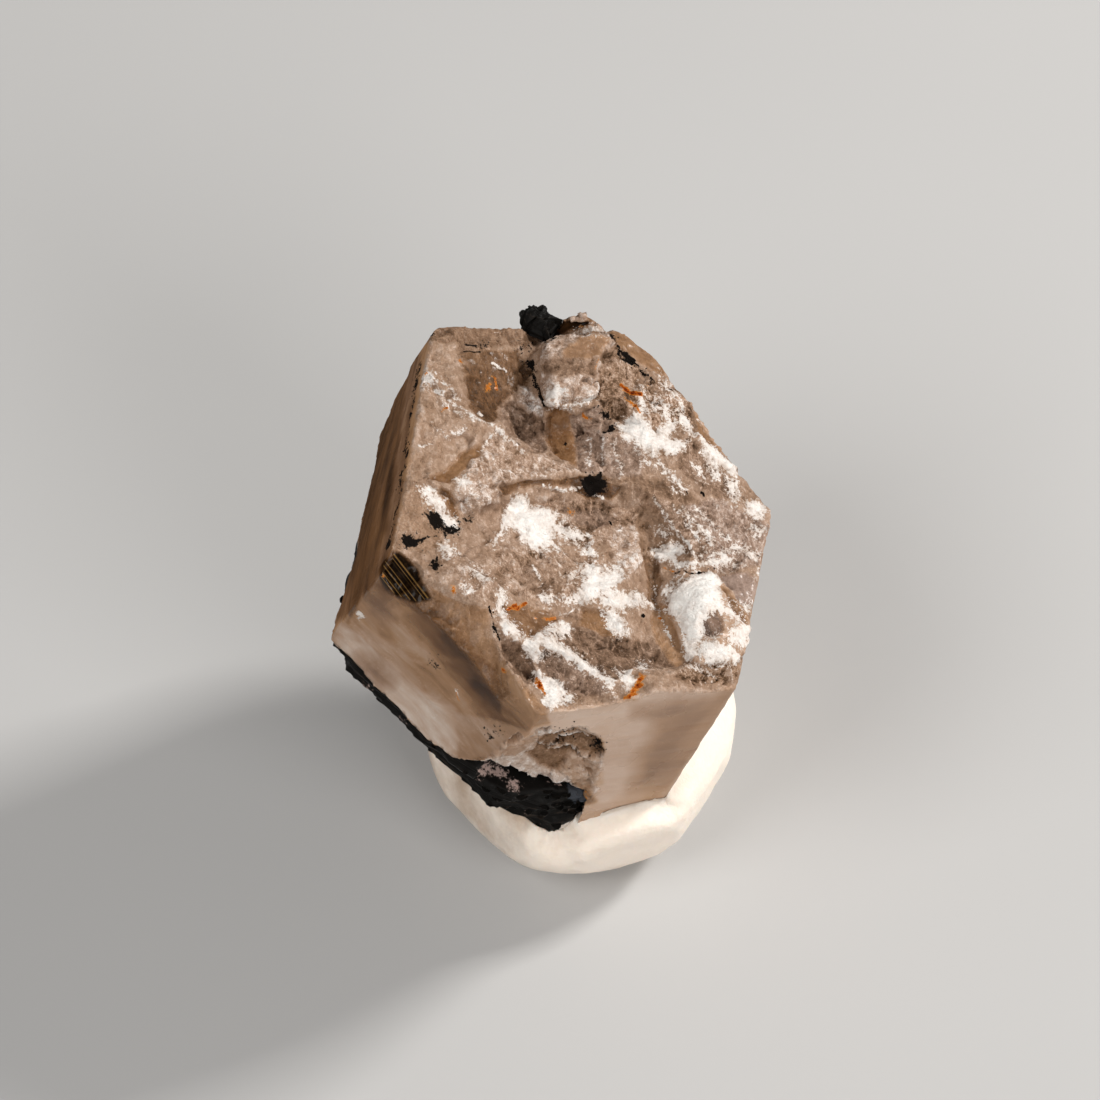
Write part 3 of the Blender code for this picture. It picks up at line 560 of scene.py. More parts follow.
chalkAndGlintStrokes = {  # a path in the photo, half width in mm, and how strong
    "streakLong": (((428, 387), (452, 401), (478, 418), (498, 429)), 0.08, 0.58),
    "streakHigh": (((434, 382), (446, 386), (455, 395), (461, 399)), 0.10, 0.60),
    "streakLow": (((440, 402), (458, 412), (474, 421)), 0.09, 0.52),
    "streakFoot": (((430, 424), (441, 434), (450, 442)), 0.09, 0.52),
    "plateauDash": (((455, 434), (461, 432), (466, 428)), 0.14, 0.58),
    "plateauDashLeft": (((419, 446), (433, 446)), 0.07, 0.58),
    "fleck": (((493, 363), (500, 368), (508, 371)), 0.06, 0.85),
    "fleckLow": (((481, 412), (484, 414)), 0.06, 0.85),
    "peakLeft": (((497, 427), (490, 437), (479, 450)), 0.10, 0.56),
    "peakRight": (((497, 427), (510, 440), (526, 453)), 0.12, 0.56),
    "ledgeStreak": (((546, 486), (566, 491), (584, 487), (603, 500)), 0.10, 0.60),
    "sheetEdge": (((517, 498), (508, 514), (501, 530), (493, 547)), 0.06, 0.85),
    "needle": (((532, 564), (538, 577), (542, 587)), 0.07, 0.70),
    "rib": (((653, 496), (667, 517), (680, 536), (698, 559)), 0.10, 0.60),
    "ribSecond": (((672, 506), (690, 528), (706, 553)), 0.10, 0.52),
    "ribThird": (((664, 514), (676, 534), (688, 552)), 0.10, 0.50),
    "strandA": (((602, 438), (603, 466)), 0.10, 0.50),
    "strandB": (((614, 444), (621, 474)), 0.16, 0.56),
    "strandC": (((633, 446), (641, 470)), 0.10, 0.50),
    "strandD": (((588, 436), (590, 466)), 0.14, 0.50),
    "flecksHigh": (((632, 440), (640, 452), (648, 466)), 0.14, 0.60),
    "flecksMid": (((660, 462), (672, 476), (684, 490)), 0.20, 0.58),
    "mistStreak": (((682, 510), (700, 530), (716, 550)), 0.22, 0.60),
    "mistStreakHigh": (((694, 508), (712, 522), (728, 540)), 0.16, 0.57),
    "mistBand": (((712, 556), (735, 548), (765, 556)), 0.25, 0.60),
    "barStrand": (((657, 560), (680, 562), (712, 563)), 0.10, 0.68),
    "shellLine": (((663, 618), (667, 630), (672, 644)), 0.07, 0.62),
    "grooveLine": (((656, 586), (655, 600), (660, 614)), 0.08, 0.55),
    # glint and glintLow are painted highlights: small bright spots on the glassy face, drawn in the chalk's white
    "glint": (((358, 614), (362, 618)), 0.12, 0.95),
    "glintLow": (((453, 690), (458, 698)), 0.06, 0.55),
    "smallArc": (((560, 612), (570, 612), (577, 609)), 0.08, 0.55),
}
# Black specks on the broken end, and painted shadows in the same black: the shade beside the rib and on the slab's left
# wall and its top.
sootAndShadowPatches = {
    "cluster": (((426, 514), (433, 511), (442, 518), (445, 526), (458, 531), (448, 535), (439, 527), (430, 525)), 1.1),
    "clusterEnd": (((457, 519), (461, 520), (461, 530), (457, 530)), 0.9),
    "bridge": (((463, 519), (470, 515), (474, 520), (468, 525)), 0.68),
    "lens": (((401, 541), (409, 536), (420, 540), (414, 545), (404, 546)), 1.15),
    "ovalLeft": (((430, 558), (436, 555), (439, 563), (437, 572), (430, 567)), 1.15),
    "oval": (((582, 480), (590, 476), (602, 477), (607, 484), (602, 493), (592, 496), (584, 488)), 1.3),
    # painted shadows beside the rib
    "ribShadow": (((600, 411), (607, 409), (611, 418), (603, 420)), 0.95),
    "ribShadowLow": (((603, 428), (614, 423), (620, 430), (608, 436)), 0.85),
    "dash": (((480, 343), (487, 341), (488, 347), (482, 347)), 0.9),
    # painted shadow at the top of the slab's left wall
    "wallTopShadow": (((517, 343), (535, 343), (531, 352), (520, 351)), 0.72),
    "glassSpeck": (((426, 662), (432, 659), (440, 667), (437, 672)), 0.74),
    "chipBlack": (((538, 321), (545, 319), (553, 330), (557, 339), (543, 341), (538, 333)), 1.2),
    "scarSpot": (((588, 740), (600, 738), (603, 751), (594, 752)), 0.78),
    "scarSpotLeft": (((489, 730), (498, 728), (500, 735), (492, 736)), 0.75),
    "scarEdge": (((556, 728), (572, 727), (576, 734), (562, 735)), 0.66),
}
sootAndShadowStrokes = {
    "lensTail": (((418, 539), (426, 537), (435, 535)), 0.06, 0.80),
    "dashA": (((466, 345), (477, 345)), 0.06, 0.85),
    "dashB": (((466, 352), (478, 352)), 0.06, 0.90),
    "dashC": (((425, 334), (435, 334)), 0.06, 0.75),
    # painted shadow down the slab's left wall
    "wallShadow": (((528, 362), (534, 378), (540, 392), (546, 406)), 0.13, 0.80),
    "crack": (((609, 335), (622, 350), (640, 368), (656, 382)), 0.08, 0.80),
    "crackLow": (((620, 352), (634, 366)), 0.10, 0.66),
    "grooveCrack": (((674, 574), (684, 571), (696, 573), (713, 568)), 0.07, 0.58),
    "border": (((420, 362), (413, 400), (408, 440), (401, 490), (394, 522), (387, 549)), 0.07, 0.62),
    "dotHigh": (((565, 442), (566, 444)), 0.08, 0.95),
    "dotCentre": (((608, 522), (609, 524)), 0.08, 0.95),
    "dotLow": (((641, 615), (643, 616)), 0.09, 0.95),
    "dotFar": (((686, 492), (687, 493)), 0.07, 0.75),
    "dotRim": (((702, 494), (704, 496)), 0.10, 0.75),
    "cornerLine": (((489, 606), (493, 622), (499, 640)), 0.09, 0.72),
}
ironPatches = {
    "redDot": (((484, 387), (488, 385), (491, 388), (487, 391)), 1.0),
    "shoulderAmber": (((420, 374), (425, 371), (427, 376), (422, 379)), 0.8),
    "rimGlow": (((641, 383), (648, 379), (653, 386), (645, 391)), 0.72),
    "sheetDot": (((568, 509), (574, 507), (576, 512), (571, 514)), 0.95),
    "lowAmber": (((451, 584), (456, 583), (459, 590), (454, 592)), 0.85),
    "lipStreak": (((624, 697), (631, 700), (640, 688), (646, 679), (641, 675), (635, 682), (630, 693)), 1.2),
    "cornerAmber": (((763, 502), (771, 499), (772, 507), (765, 509)), 0.72),
    "bevelDot": (((680, 393), (689, 395), (684, 399)), 0.75),
    "slabGlow": (((580, 328), (587, 326), (586, 332), (581, 333)), 0.68),
    "scarRust": (((584, 786), (593, 792), (592, 801), (580, 803)), 0.62),
}
ironAndGlintStrokes = {
    "redLine": (((493, 375), (495, 382), (497, 390)), 0.06, 0.80),
    "bevelStreak": (((622, 385), (632, 392), (642, 394)), 0.11, 0.95),
    "ribLine": (((600, 358), (595, 372), (591, 386)), 0.06, 0.68),
    "ribDots": (((582, 412), (584, 418), (592, 419)), 0.08, 0.72),
    "ribRim": (((626, 398), (634, 406), (640, 413)), 0.10, 0.68),
    "browned": (((510, 606), (515, 603), (517, 606), (526, 603)), 0.08, 0.95),
    "smearLow": (((536, 616), (550, 619), (556, 617)), 0.08, 0.66),
    "creamEdge": (((537, 679), (541, 686), (543, 695)), 0.12, 0.90),
    "lipDot": (((502, 669), (505, 674)), 0.09, 0.85),
    # painted highlights: glints on the glassy face, drawn in the amber of the iron stain
    "amberGlint": (((380, 571), (383, 575)), 0.08, 0.80),
    "amberGlintLow": (((455, 694), (462, 704)), 0.06, 0.66),
    "tinyA": (((459, 361), (461, 363)), 0.07, 0.85),
    "tinyB": (((468, 388), (470, 389)), 0.08, 0.75),
    "tinyC": (((441, 412), (446, 408)), 0.06, 0.70),
    "tinyD": (((660, 615), (662, 617)), 0.09, 0.85),
    "leftEdge": (((391, 536), (394, 531)), 0.06, 0.80),
    "barGlow": (((663, 568), (674, 571)), 0.06, 0.68),
    "lipGlow": (((708, 680), (718, 682)), 0.07, 0.66),
}


def insideOutline(pixels, outline, soft):  # 1 inside an outline in the photo, 0.5 on it, 0 outside; soft is in mm
    corners = np.array(outline, float)
    margin = soft / shotPixel
    near = np.flatnonzero(((pixels > corners.min(axis=0) - margin) & (pixels < corners.max(axis=0) + margin)).all(axis=1))
    at = pixels[near]
    nearest = np.full(len(near), 1e9)
    inside = np.zeros(len(near), bool)
    for start, end in zip(corners, np.roll(corners, -1, axis=0)):
        step = end - start
        share = np.clip((at - start) @ step / (step @ step), 0, 1)
        nearest = np.minimum(nearest, np.linalg.norm(at - start - share[:, None] * step, axis=1))
        if step[1]:
            crossing = start[0] + (at[:, 1] - start[1]) / step[1] * step[0]
            inside ^= ((start[1] > at[:, 1]) != (end[1] > at[:, 1])) & (at[:, 0] < crossing)
    level = np.zeros(len(pixels))
    level[near] = np.clip(0.5 + np.where(inside, nearest, -nearest) * shotPixel / (2 * soft), 0, 1)
    return level


def alongStroke(pixels, path, width, strength):  # strength on a path in the photo, half of it at the half width
    nearest = np.full(len(pixels), 1e9)
    for start, end in zip(path, path[1:]):
        start, step = np.array(start, float), np.array(end, float) - np.array(start, float)
        share = np.clip((pixels - start) @ step / (step @ step), 0, 1)
        nearest = np.minimum(nearest, np.linalg.norm(pixels - start - share[:, None] * step, axis=1))
    return strength * np.clip(1 - nearest * shotPixel / width / 2, 0, 1)


def gatherMarks(pixels, patches, strokes):
    total = np.zeros(len(pixels))
    for outline, strength in patches.values():
        total = np.maximum(total, strength * insideOutline(pixels, outline, crystal["chalkEdge"]))
    for stroke in strokes.values():
        total = np.maximum(total, alongStroke(pixels, *stroke))
    return total


def facetHeight(place, size, lean, step):  # a field of small flat facets, each leaning and stepped its own way
    cell = Vector(place) / size
    near = noise.voronoi(cell)[1][0]
    tilt = noise.noise_vector(near * 7.3)
    return size * lean * tilt.dot(cell - near) + step * noise.noise(near * 5.1)


def faceDirection(name):
    angle = math.radians(crystal["faces"][name])
    return np.array((math.cos(angle), math.sin(angle), 0.0))


def zoneOf(points, flatNormals):  # which prism face each point lies on, or the broken end, scar or foot
    zones = {}
    sides = np.zeros(len(points))
    for name in crystal["faces"]:
        out = faceDirection(name)
        gap = np.abs(points @ out - crystal["faceDistances"][name])
        on = (flatNormals @ out > 0.93) & (gap < (0.1 if name == "front" else 1.0)) & (np.abs(flatNormals[:, 2]) < 0.3)
        zones[name] = on.astype(float)
        sides = np.maximum(sides, zones[name])
    outFront = faceDirection("front")
    nearFront = np.abs(points @ outFront - crystal["faceDistances"]["front"]) < 1.5
    zones["scar"] = ((1 - sides) * nearFront * (points[:, 2] < -1.6) * (points[:, 2] > -14)).astype(float)
    zones["end"] = (1 - sides) * (1 - zones["scar"]) * (points[:, 2] > -4.0)
    zones["foot"] = (1 - sides) * (1 - zones["scar"]) * (points[:, 2] <= -4.0)
    return zones


def splitWhere(mesh, chosen):  # halves the mesh size where both ends of an edge are chosen
    data = bmesh.new()
    data.from_mesh(mesh)
    edges = [edge for edge in data.edges if chosen[edge.verts[0].index] and chosen[edge.verts[1].index]]
    bmesh.ops.subdivide_edges(data, edges=edges, cuts=1, use_grid_fill=True)
    data.to_mesh(mesh)
    data.free()


def roundEdge(points, first, second, radius):  # rounds the prism edge between two faces by a radius for each point
    faces = np.stack([faceDirection(first)[:2], faceDirection(second)[:2]])
    reach = np.array([crystal["faceDistances"][first], crystal["faceDistances"][second]])
    axis = (reach - radius[:, None]) @ np.linalg.inv(faces).T
    out = points[:, :2] - axis
    length = np.linalg.norm(out, axis=1)
    beyond = ((out @ np.linalg.inv(faces)) > 0).all(axis=1) & (length > radius)
    points[beyond, :2] = axis[beyond] + out[beyond] * (radius / length)[beyond, None]


def inPhoto(points):  # where points of the crystal's own space fall in the photo
    return photoPixels(points @ np.array(crystalSpace.to_3x3()).T / mm + np.array(crystal["centre"]))


def inScarBox(points):
    low, high = crystal["scarBox"]
    pixels = inPhoto(points)
    return ((pixels > low) & (pixels < high)).all(axis=1)


def breakScar(points, zones):  # makes the rim of the scar in the front face ragged
    size, lean, step, fade = crystal["scarEdge"]
    out = faceDirection("front")
    scar = np.flatnonzero(zones["scar"])
    tree = KDTree(len(scar))
    for index in scar:
        tree.insert(points[index], index)
    tree.balance()
    for index in np.flatnonzero((zones["scar"] + zones["front"]) * inScarBox(points)):
        place = points[index]
        depth = crystal["faceDistances"]["front"] - place @ out
        field = facetHeight(place, size, lean, step) + 0.1 * noise.noise(Vector(place * 3))
        if depth > 1.0:
            continue
        deeper = max(0.0, depth + field - fade * tree.find(place)[2])
        points[index] = place - out * (deeper - depth)
        zones["scar"][index] = deeper > 0.03
        zones["front"][index] = deeper <= 0.03


def shapeCrystal():
    base = cadCopy("phenakite_crystal", "crystalBase", crystalSpace)
    tree = BVHTree.FromPolygons([v.co for v in base.data.vertices], [p.vertices for p in base.data.polygons])
    piece = remeshOver(base, "brokenCrystal", crystal["voxel"])
    mesh = piece.data
    for final in (False, True):
        points = readPoints(mesh)
        nearest = [tree.find_nearest(Vector(point))[:2] for point in points]
        zones = zoneOf(points, np.array([normal for _, normal in nearest]))
        if not final:
            fine = zones["end"] + zones["frontLeft"] + zones["scar"] + zones["front"] * inScarBox(points)
            splitWhere(mesh, fine > 0)
    points = np.array([place for place, _ in nearest])
    breakScar(points, zones)
    writePoints(mesh, points)
    removeObject(base)

    normals = readPoints(mesh, "normal")
    toCamera = np.array(crystalSpace.to_3x3()).T @ shotTowards / mm
    seen = smoothStep(normals @ toCamera, -0.02, 0.10)
    pixels = inPhoto(points)
    wobble = np.array([noise.turbulence_vector(Vector(point) * 0.9, 3, False)[:2] for point in points])
    pixels = pixels + wobble * 2.6
    rough = np.clip(zones["end"] + zones["foot"] + zones["scar"], 0, 1)
    tone = 0.52 * zones["end"] + 0.46 * zones["frontLeft"] + 0.33 * zones["left"] + 0.74 * zones["front"]
    hidden = zones["right"] + zones["backRight"] + zones["back"] + zones["backLeft"]
    tone = tone + 0.80 * zones["scar"] + 0.50 * zones["foot"] + 0.60 * hidden
    cool = 0.03 + 0.17 * zones["front"] + 0.30 * hidden
    frost = 0.45 * rough
    relief = np.zeros(len(points))
    for outline, light, grey, frosted, step, slope in facets.values():
        soft = crystal["toneEdge"] if step or frosted else crystal["bandEdge"]
        share = insideOutline(pixels, outline, soft) * seen
        tone = tone + (light - tone) * share
        cool = cool + (grey - cool) * share
        frost = frost + (frosted * rough - frost) * share
        if step or any(slope):
            offset = (pixels - np.mean(outline, axis=0)) * shotPixel
            share = insideOutline(pixels, outline, crystal["facetEdge"]) * seen * rough
            relief = relief + (step + offset @ np.array(slope) - relief) * share

    rough = edgeMeans(mesh, rough[:, None], 3)[:, 0]
    lift = np.zeros(len(points))
    for index, place in enumerate(points):
        if rough[index] > 0.02:
            large = facetHeight(place, *crystal["largeFacet"])
            small = facetHeight(place + np.array((3, 7, 1)), *crystal["smallFacet"])
            rubble = crystal["rubble"] * noise.fractal(Vector(place * 1.8), 0.6, 2.2, 5)
            lift[index] = rough[index] * (relief[index] + (0.25 + 0.75 * frost[index]) * (large + small + rubble))
    for name in crystal["faces"]:
        out = faceDirection(name)
        side = points @ np.array((-out[1], out[0], 0))
        for index in np.flatnonzero(zones[name]):
            lines = noise.noise(Vector((side[index] * 0.12, crystal["faces"][name], points[index, 2] * 3.1)))
            waves = noise.noise(Vector((side[index] * 0.3, crystal["faces"][name], points[index, 2] * 0.7)))
            lift[index] += crystal["striation"] * lines + 0.03 * waves
    points = points + normals * lift[:, None]
    names = list(crystal["faces"])
    for first, second in zip(names, names[1:] + names[:1]):
        radius = np.full(len(points), crystal["edgeRadius"])
        if (first, second) in crystal["wornCorners"] or (second, first) in crystal["wornCorners"]:
            worn = crystal["wornCorners"].get((first, second)) or crystal["wornCorners"][(second, first)]
            radius = radius + worn[0] * smoothStep(points[:, 2], worn[1], worn[2])
        roundEdge(points, first, second, radius)
    writePoints(mesh, points)

    soft = edgeMeans(mesh, points, 10)
    normals = readPoints(mesh, "normal")
    # how far each point stands out from its neighbours; the finish uses it for lighter ridges and darker hollows
    ridge = edgeMeans(mesh, ((points - soft) * normals).sum(axis=1)[:, None] / 0.08, 1)[:, 0]
    onEnd = zones["end"]
    # the white crust, and two painted highlights drawn in its white
    chalkAndGlint = gatherMarks(pixels, chalkPatches, chalkAndGlintStrokes) * np.clip(onEnd + zones["frontLeft"], 0, 1)
    # black specks, and painted shadows drawn in black
    sootAndShadow = gatherMarks(pixels, sootAndShadowPatches, sootAndShadowStrokes)
    # rust stain, and two painted glints in its amber
    ironAndGlint = gatherMarks(pixels, ironPatches, ironAndGlintStrokes) * np.clip(onEnd + zones["scar"] + zones["frontLeft"], 0, 1)
    for name, values in (("chalkAndGlint", chalkAndGlint), ("sootAndShadow", sootAndShadow), ("ironAndGlint", ironAndGlint)):
        writeAttribute(mesh, name, values * (seen > 0.5))
    for name, values in (("tone", tone), ("cool", cool), ("frost", frost), ("ridge", ridge)):
        writeAttribute(mesh, name, values)
    writeAttribute(mesh, "roughZone", rough)
    writeAttribute(mesh, "streaks", 0.15 * (1 - rough) + 0.35 * zones["left"])
    writeAttribute(mesh, "glassZone", edgeMeans(mesh, zones["frontLeft"][:, None], 2)[:, 0])
    return piece


crystalLook = {
    "clear": (0.88, 0.74, 0.62),
    "glassy": (
        (0.0, (0.006, 0.003, 0.0015)), (0.15, (0.050, 0.022, 0.008)), (0.32, (0.185, 0.088, 0.036)),
        (0.50, (0.40, 0.225, 0.115)), (0.68, (0.56, 0.38, 0.265)), (0.85, (0.71, 0.57, 0.47)), (1.0, (0.84, 0.78, 0.72)),
    ),
    "frosted": (
        (0.0, (0.008, 0.004, 0.002)), (0.15, (0.085, 0.044, 0.021)), (0.32, (0.24, 0.145, 0.088)),
        (0.50, (0.38, 0.25, 0.172)), (0.68, (0.52, 0.38, 0.295)), (0.85, (0.70, 0.59, 0.52)), (1.0, (0.88, 0.83, 0.79)),
    ),
    "grey": (
        (0.0, (0.007, 0.006, 0.006)), (0.15, (0.075, 0.052, 0.046)), (0.32, (0.20, 0.145, 0.125)),
        (0.50, (0.345, 0.265, 0.235)), (0.68, (0.50, 0.41, 0.375)), (0.85, (0.69, 0.62, 0.59)), (1.0, (0.87, 0.84, 0.82)),
    ),
    "chalkAndGlint": ((0.0, (0.52, 0.42, 0.35)), (0.35, (0.68, 0.61, 0.56)), (0.6, (0.75, 0.70, 0.66)), (1.0, (0.82, 0.80, 0.77))),
    "ironAndGlint": ((0.0, (0.60, 0.36, 0.12)), (0.35, (0.50, 0.17, 0.025)), (0.7, (0.27, 0.050, 0.008)), (1.0, (0.07, 0.012, 0.005))),
    "gold": (0.34, 0.19, 0.06),
    "threads": (35, 45),  # the way the golden threads run in the photo
    # black for the specks and for the painted shadows
    "sootAndShadow": (0.009, 0.007, 0.006),
    "absorbed": (0.74, 0.50, 0.34),
    "absorption": 160.0,
    "ior": 1.654,
}


def acrossPhoto(drawn):  # the direction, in the crystal's own space, that crosses lines drawn in the photo
    line = np.array((drawn[0], 0, 0)) - shotUp * drawn[1]
    across = np.cross(line, shotTowards)
    return np.array(crystalSpace.to_3x3()).T @ (across / np.linalg.norm(across)) / mm


def crystalFinish():
    look = crystalLook
    kit = Finish("phenakite")
    place = kit.objectPlace(crystalSpace)
    roughZone, glassZone, streaks = kit.attribute("roughZone"), kit.attribute("glassZone"), kit.attribute("streaks")
    tone, cool, frost, ridge = kit.attribute("tone"), kit.attribute("cool"), kit.attribute("frost"), kit.attribute("ridge")
    chalkAndGlintMark, sootAndShadowMark, ironAndGlintMark = kit.attribute("chalkAndGlint"), kit.attribute("sootAndShadow"), kit.attribute("ironAndGlint")

    broken = kit.noise(place, 1.5, 7, 0.70, 0.25)  # ragged edges from half a millimetre down
    speck = kit.noise(place, 4.6, 3, 0.75)
    pepper = kit.noise(place, 11.0, 1, 0.6)
    cloud = kit.noise(place, 0.35, 3, 0.55)
    torn = kit.warped(place, 1.8, 0.5)
    along = (0, 0, -52)
    chips = kit.shards(kit.stretched(torn, (2.2, 4.5, 3.0), along), 1.0)
    scratches = kit.edge(kit.noise(kit.stretched(torn, (0.5, 9.0, 2.0), along), 1.0, 3, 0.6), 0.60, 0.66)
    bands = kit.noise(kit.stretched(place, (0.20, 0.20, 1.1)), 1.0, 4, 0.60, 0.8)  # growth bands round the prism
    lines = kit.noise(kit.stretched(place, (0.10, 0.10, 6.0)), 1.0, 3, 0.6)
    veils = kit.noise(kit.stretched(place, (0.40, 0.40, 0.75)), 1.0, 3, 0.6, 0.7)
    facet = kit.leaning(place, 2.3) + 0.8 * kit.leaning(place, 6.5)

    spray = kit.edge(speck + 0.5 * (broken - 0.5) + 0.12 * frost, 0.63, 0.69)
    spray = spray.atLeast(kit.edge(pepper + 0.4 * (broken - 0.5) + 0.10 * frost, 0.66, 0.72))
    pits = kit.edge(speck + 0.4 * (broken - 0.5), 0.40, 0.34)
    grain = 0.24 * spray - 0.20 * pits + 0.9 * (broken - 0.5) + 0.22 * (chips - 0.5) + 0.27 * scratches
    # ridge lightens raised edges, as wear and as painted highlight, and darkens hollows as painted shade
    onRough = (0.18 + 0.82 * frost) * grain + 0.20 * (cloud - 0.5) + 0.10 * ridge
    onSides = streaks * (0.80 * (bands - 0.5) + 0.35 * (lines - 0.5)) + 0.22 * (cloud - 0.5) + 0.55 * glassZone * (veils - 0.5)
    value = tone - 0.055 + onRough * roughZone + (onSides + 0.05 * spray) * (1 - roughZone)
    body = kit.blend((frost * 2.5).clamped(), kit.ramp(value, look["glassy"]), kit.ramp(value, look["frosted"]))
    body = kit.blend(cool, body, kit.ramp(value, look["grey"]))

    # the white of the crust, which also carries two small painted highlights
    amount = chalkAndGlintMark + 1.3 * (broken - 0.5) + 0.40 * (chips - 0.5) + 0.8 * (speck - 0.5) + 0.5 * (pepper - 0.5)
    chalkAndGlint = kit.edge(amount, 0.51, 0.57) * kit.edge(chalkAndGlintMark, 0.0, 0.06)
    powder = kit.edge(speck + 0.5 * chalkAndGlintMark + 0.5 * (pepper - 0.5), 0.70, 0.76) * kit.edge(chalkAndGlintMark, 0.0, 0.06)
    white = kit.ramp(0.50 + 1.2 * (broken - 0.5) + 0.8 * (speck - 0.5) + 0.6 * (amount - 0.8), look["chalkAndGlint"])
    body = kit.blend(powder * 0.8, body, white)
    body = kit.blend(chalkAndGlint, body, white)
    # the rust stain's colour, which also carries two small painted glints
    rustAndGlint = ironAndGlintMark + 1.4 * (broken - 0.5) + 1.1 * (speck - 0.5)
    ironAndGlint = kit.edge(rustAndGlint, 0.44, 0.62)
    body = kit.blend(ironAndGlint, body, kit.ramp(rustAndGlint * 1.5 - 0.55, look["ironAndGlint"]))
    across = kit.node("ShaderNodeVectorMath", {"operation": "DOT_PRODUCT"}, {0: place, 1: acrossPhoto(look["threads"])}, "Value")
    thread = kit.node("ShaderNodeTexNoise", {"noise_dimensions": "1D"}, {"W": across, "Scale": 7.0, "Detail": 3.0})
    body = kit.blend(kit.edge(thread, 0.55, 0.62) * kit.edge(tone, 0.14, 0.09) * 0.55, body, look["gold"])
    # black specks and painted shadows on the broken end
    sootAndShadow = kit.edge(sootAndShadowMark + 1.5 * (broken - 0.5) + 1.2 * (speck - 0.5), 0.47, 0.55)
    body = kit.blend(sootAndShadow, body, look["sootAndShadow"])

    rise = facet * (0.15 + 0.85 * frost) + 0.20 * speck + 0.15 * chalkAndGlintMark
    fine = kit.bump(rise * roughZone, 0.75)
    dull = 0.28 + 0.34 * frost + 0.25 * chalkAndGlint + 0.25 * (broken - 0.5)
    roughness = dull * roughZone + (0.26 + 0.35 * (cloud - 0.5) + 0.14 * (1 - glassZone)) * (1 - roughZone)
    roughness = roughness.atLeast(0.08).clamped()

    gloss = 0.60 * kit.edge(streaks, 0.40, 0.20) * (1 - roughZone) + 0.18 * roughZone * kit.edge(frost, 0.35, 0.05)
    stone = kit.node("ShaderNodeBsdfPrincipled", None, {
        "Base Color": body, "Roughness": roughness, "IOR": look["ior"], "Specular IOR Level": 0.0, "Normal": fine,
        "Coat Weight": gloss * (1 - chalkAndGlint) * (1 - sootAndShadow), "Coat Roughness": 0.18, "Coat IOR": 1.5,
    })
    clear = kit.node("ShaderNodeBsdfPrincipled", None, {
        "Base Color": (*look["clear"], 1), "Roughness": roughness * 0.7, "IOR": look["ior"],
        "Transmission Weight": 1.0, "Specular IOR Level": 0.35, "Normal": fine,
    })
    solid = 0.80 + 0.30 * streaks + 0.20 * chalkAndGlint + 0.15 * frost - 0.20 * glassZone + kit.edge(tone, 0.30, 0.15) * 0.2
    # the palest parts of the glassy face, with their painted glow, are made more solid so their colour shows
    solid = solid + 0.35 * glassZone * kit.edge(tone, 0.80, 0.98)
    solid = solid.atLeast(sootAndShadow).atLeast(ironAndGlint).clamped()
    surface = kit.node("ShaderNodeMixShader", None, {0: solid, 1: clear, 2: stone})
    volume = kit.node("ShaderNodeVolumeAbsorption", None, {
        "Color": (*look["absorbed"], 1), "Density": look["absorption"],
    })
    return kit.finish(surface, volume)


crystalPiece = shapeCrystal()
print("crystal shaped and marked")


# Grains and flakes, scattered by one tree

def scatterTree():
    tree = bpy.data.node_groups.new("scatterOverSurface", "GeometryNodeTree")
    face = tree.interface
    for name, kind in (
        ("Surface", "Geometry"), ("Shape", "Object"), ("Attribute", "String"), ("Density", "Float"), ("Least", "Float"),
        ("Largest", "Float"), ("Lean", "Vector"), ("Seed", "Int"), ("Material", "Material"),
    ):
        face.new_socket(name, in_out="INPUT", socket_type=f"NodeSocket{kind}")
    face.new_socket("Scattered", in_out="OUTPUT", socket_type="NodeSocketGeometry")

    def add(kind, settings=None, links=None):
        node = tree.nodes.new(kind)
        for key, value in (settings or {}).items():
            setattr(node, key, value)
        for key, value in (links or {}).items():
            if isinstance(value, bpy.types.NodeSocket):
                tree.links.new(value, node.inputs[key])
            else:
                node.inputs[key].default_value = value
        return node

    given = add("NodeGroupInput").outputs
    named = add("GeometryNodeInputNamedAttribute", {"data_type": "FLOAT"}, {"Name": given["Attribute"]})
    dense = add("ShaderNodeMath", {"operation": "MULTIPLY"}, {0: named.outputs[0], 1: given["Density"]})
    points = add("GeometryNodeDistributePointsOnFaces", None, {
        "Mesh": given["Surface"], "Density": dense.outputs[0], "Seed": given["Seed"],
    })
    shape = add("GeometryNodeObjectInfo", None, {"Object": given["Shape"]})
    flip = add("ShaderNodeVectorMath", {"operation": "SCALE"}, {0: given["Lean"], "Scale": -1.0})
    turn = add("FunctionNodeRandomValue", {"data_type": "FLOAT_VECTOR"}, {
        0: flip.outputs[0], 1: given["Lean"], "Seed": given["Seed"],
    })
    size = add("FunctionNodeRandomValue", {"data_type": "FLOAT"}, {2: given["Least"], 3: given["Largest"], "Seed": given["Seed"]})
    placed = add("GeometryNodeInstanceOnPoints", None, {
        "Points": points.outputs["Points"], "Instance": shape.outputs["Geometry"],
        "Rotation": turn.outputs[0], "Scale": size.outputs[1],
    })
    plain = add("GeometryNodeRealizeInstances", None, {"Geometry": placed.outputs[0]})
    painted = add("GeometryNodeSetMaterial", None, {"Geometry": plain.outputs[0], "Material": given["Material"]})
    add("NodeGroupOutput", None, {"Scattered": painted.outputs[0]})
    return tree


scatter = scatterTree()


def scatterOver(surface, name, settings):  # a plain mesh of shapes scattered over a surface
    piece = newObject(name, surface.data.copy())
    modifier = piece.modifiers.new("scatter", "NODES")
    modifier.node_group = scatter
    for item in scatter.interface.items_tree:
        if item.in_out == "INPUT" and item.name in settings:
            modifier[item.identifier] = settings[item.name]
    settleModifiers(piece)
    return piece


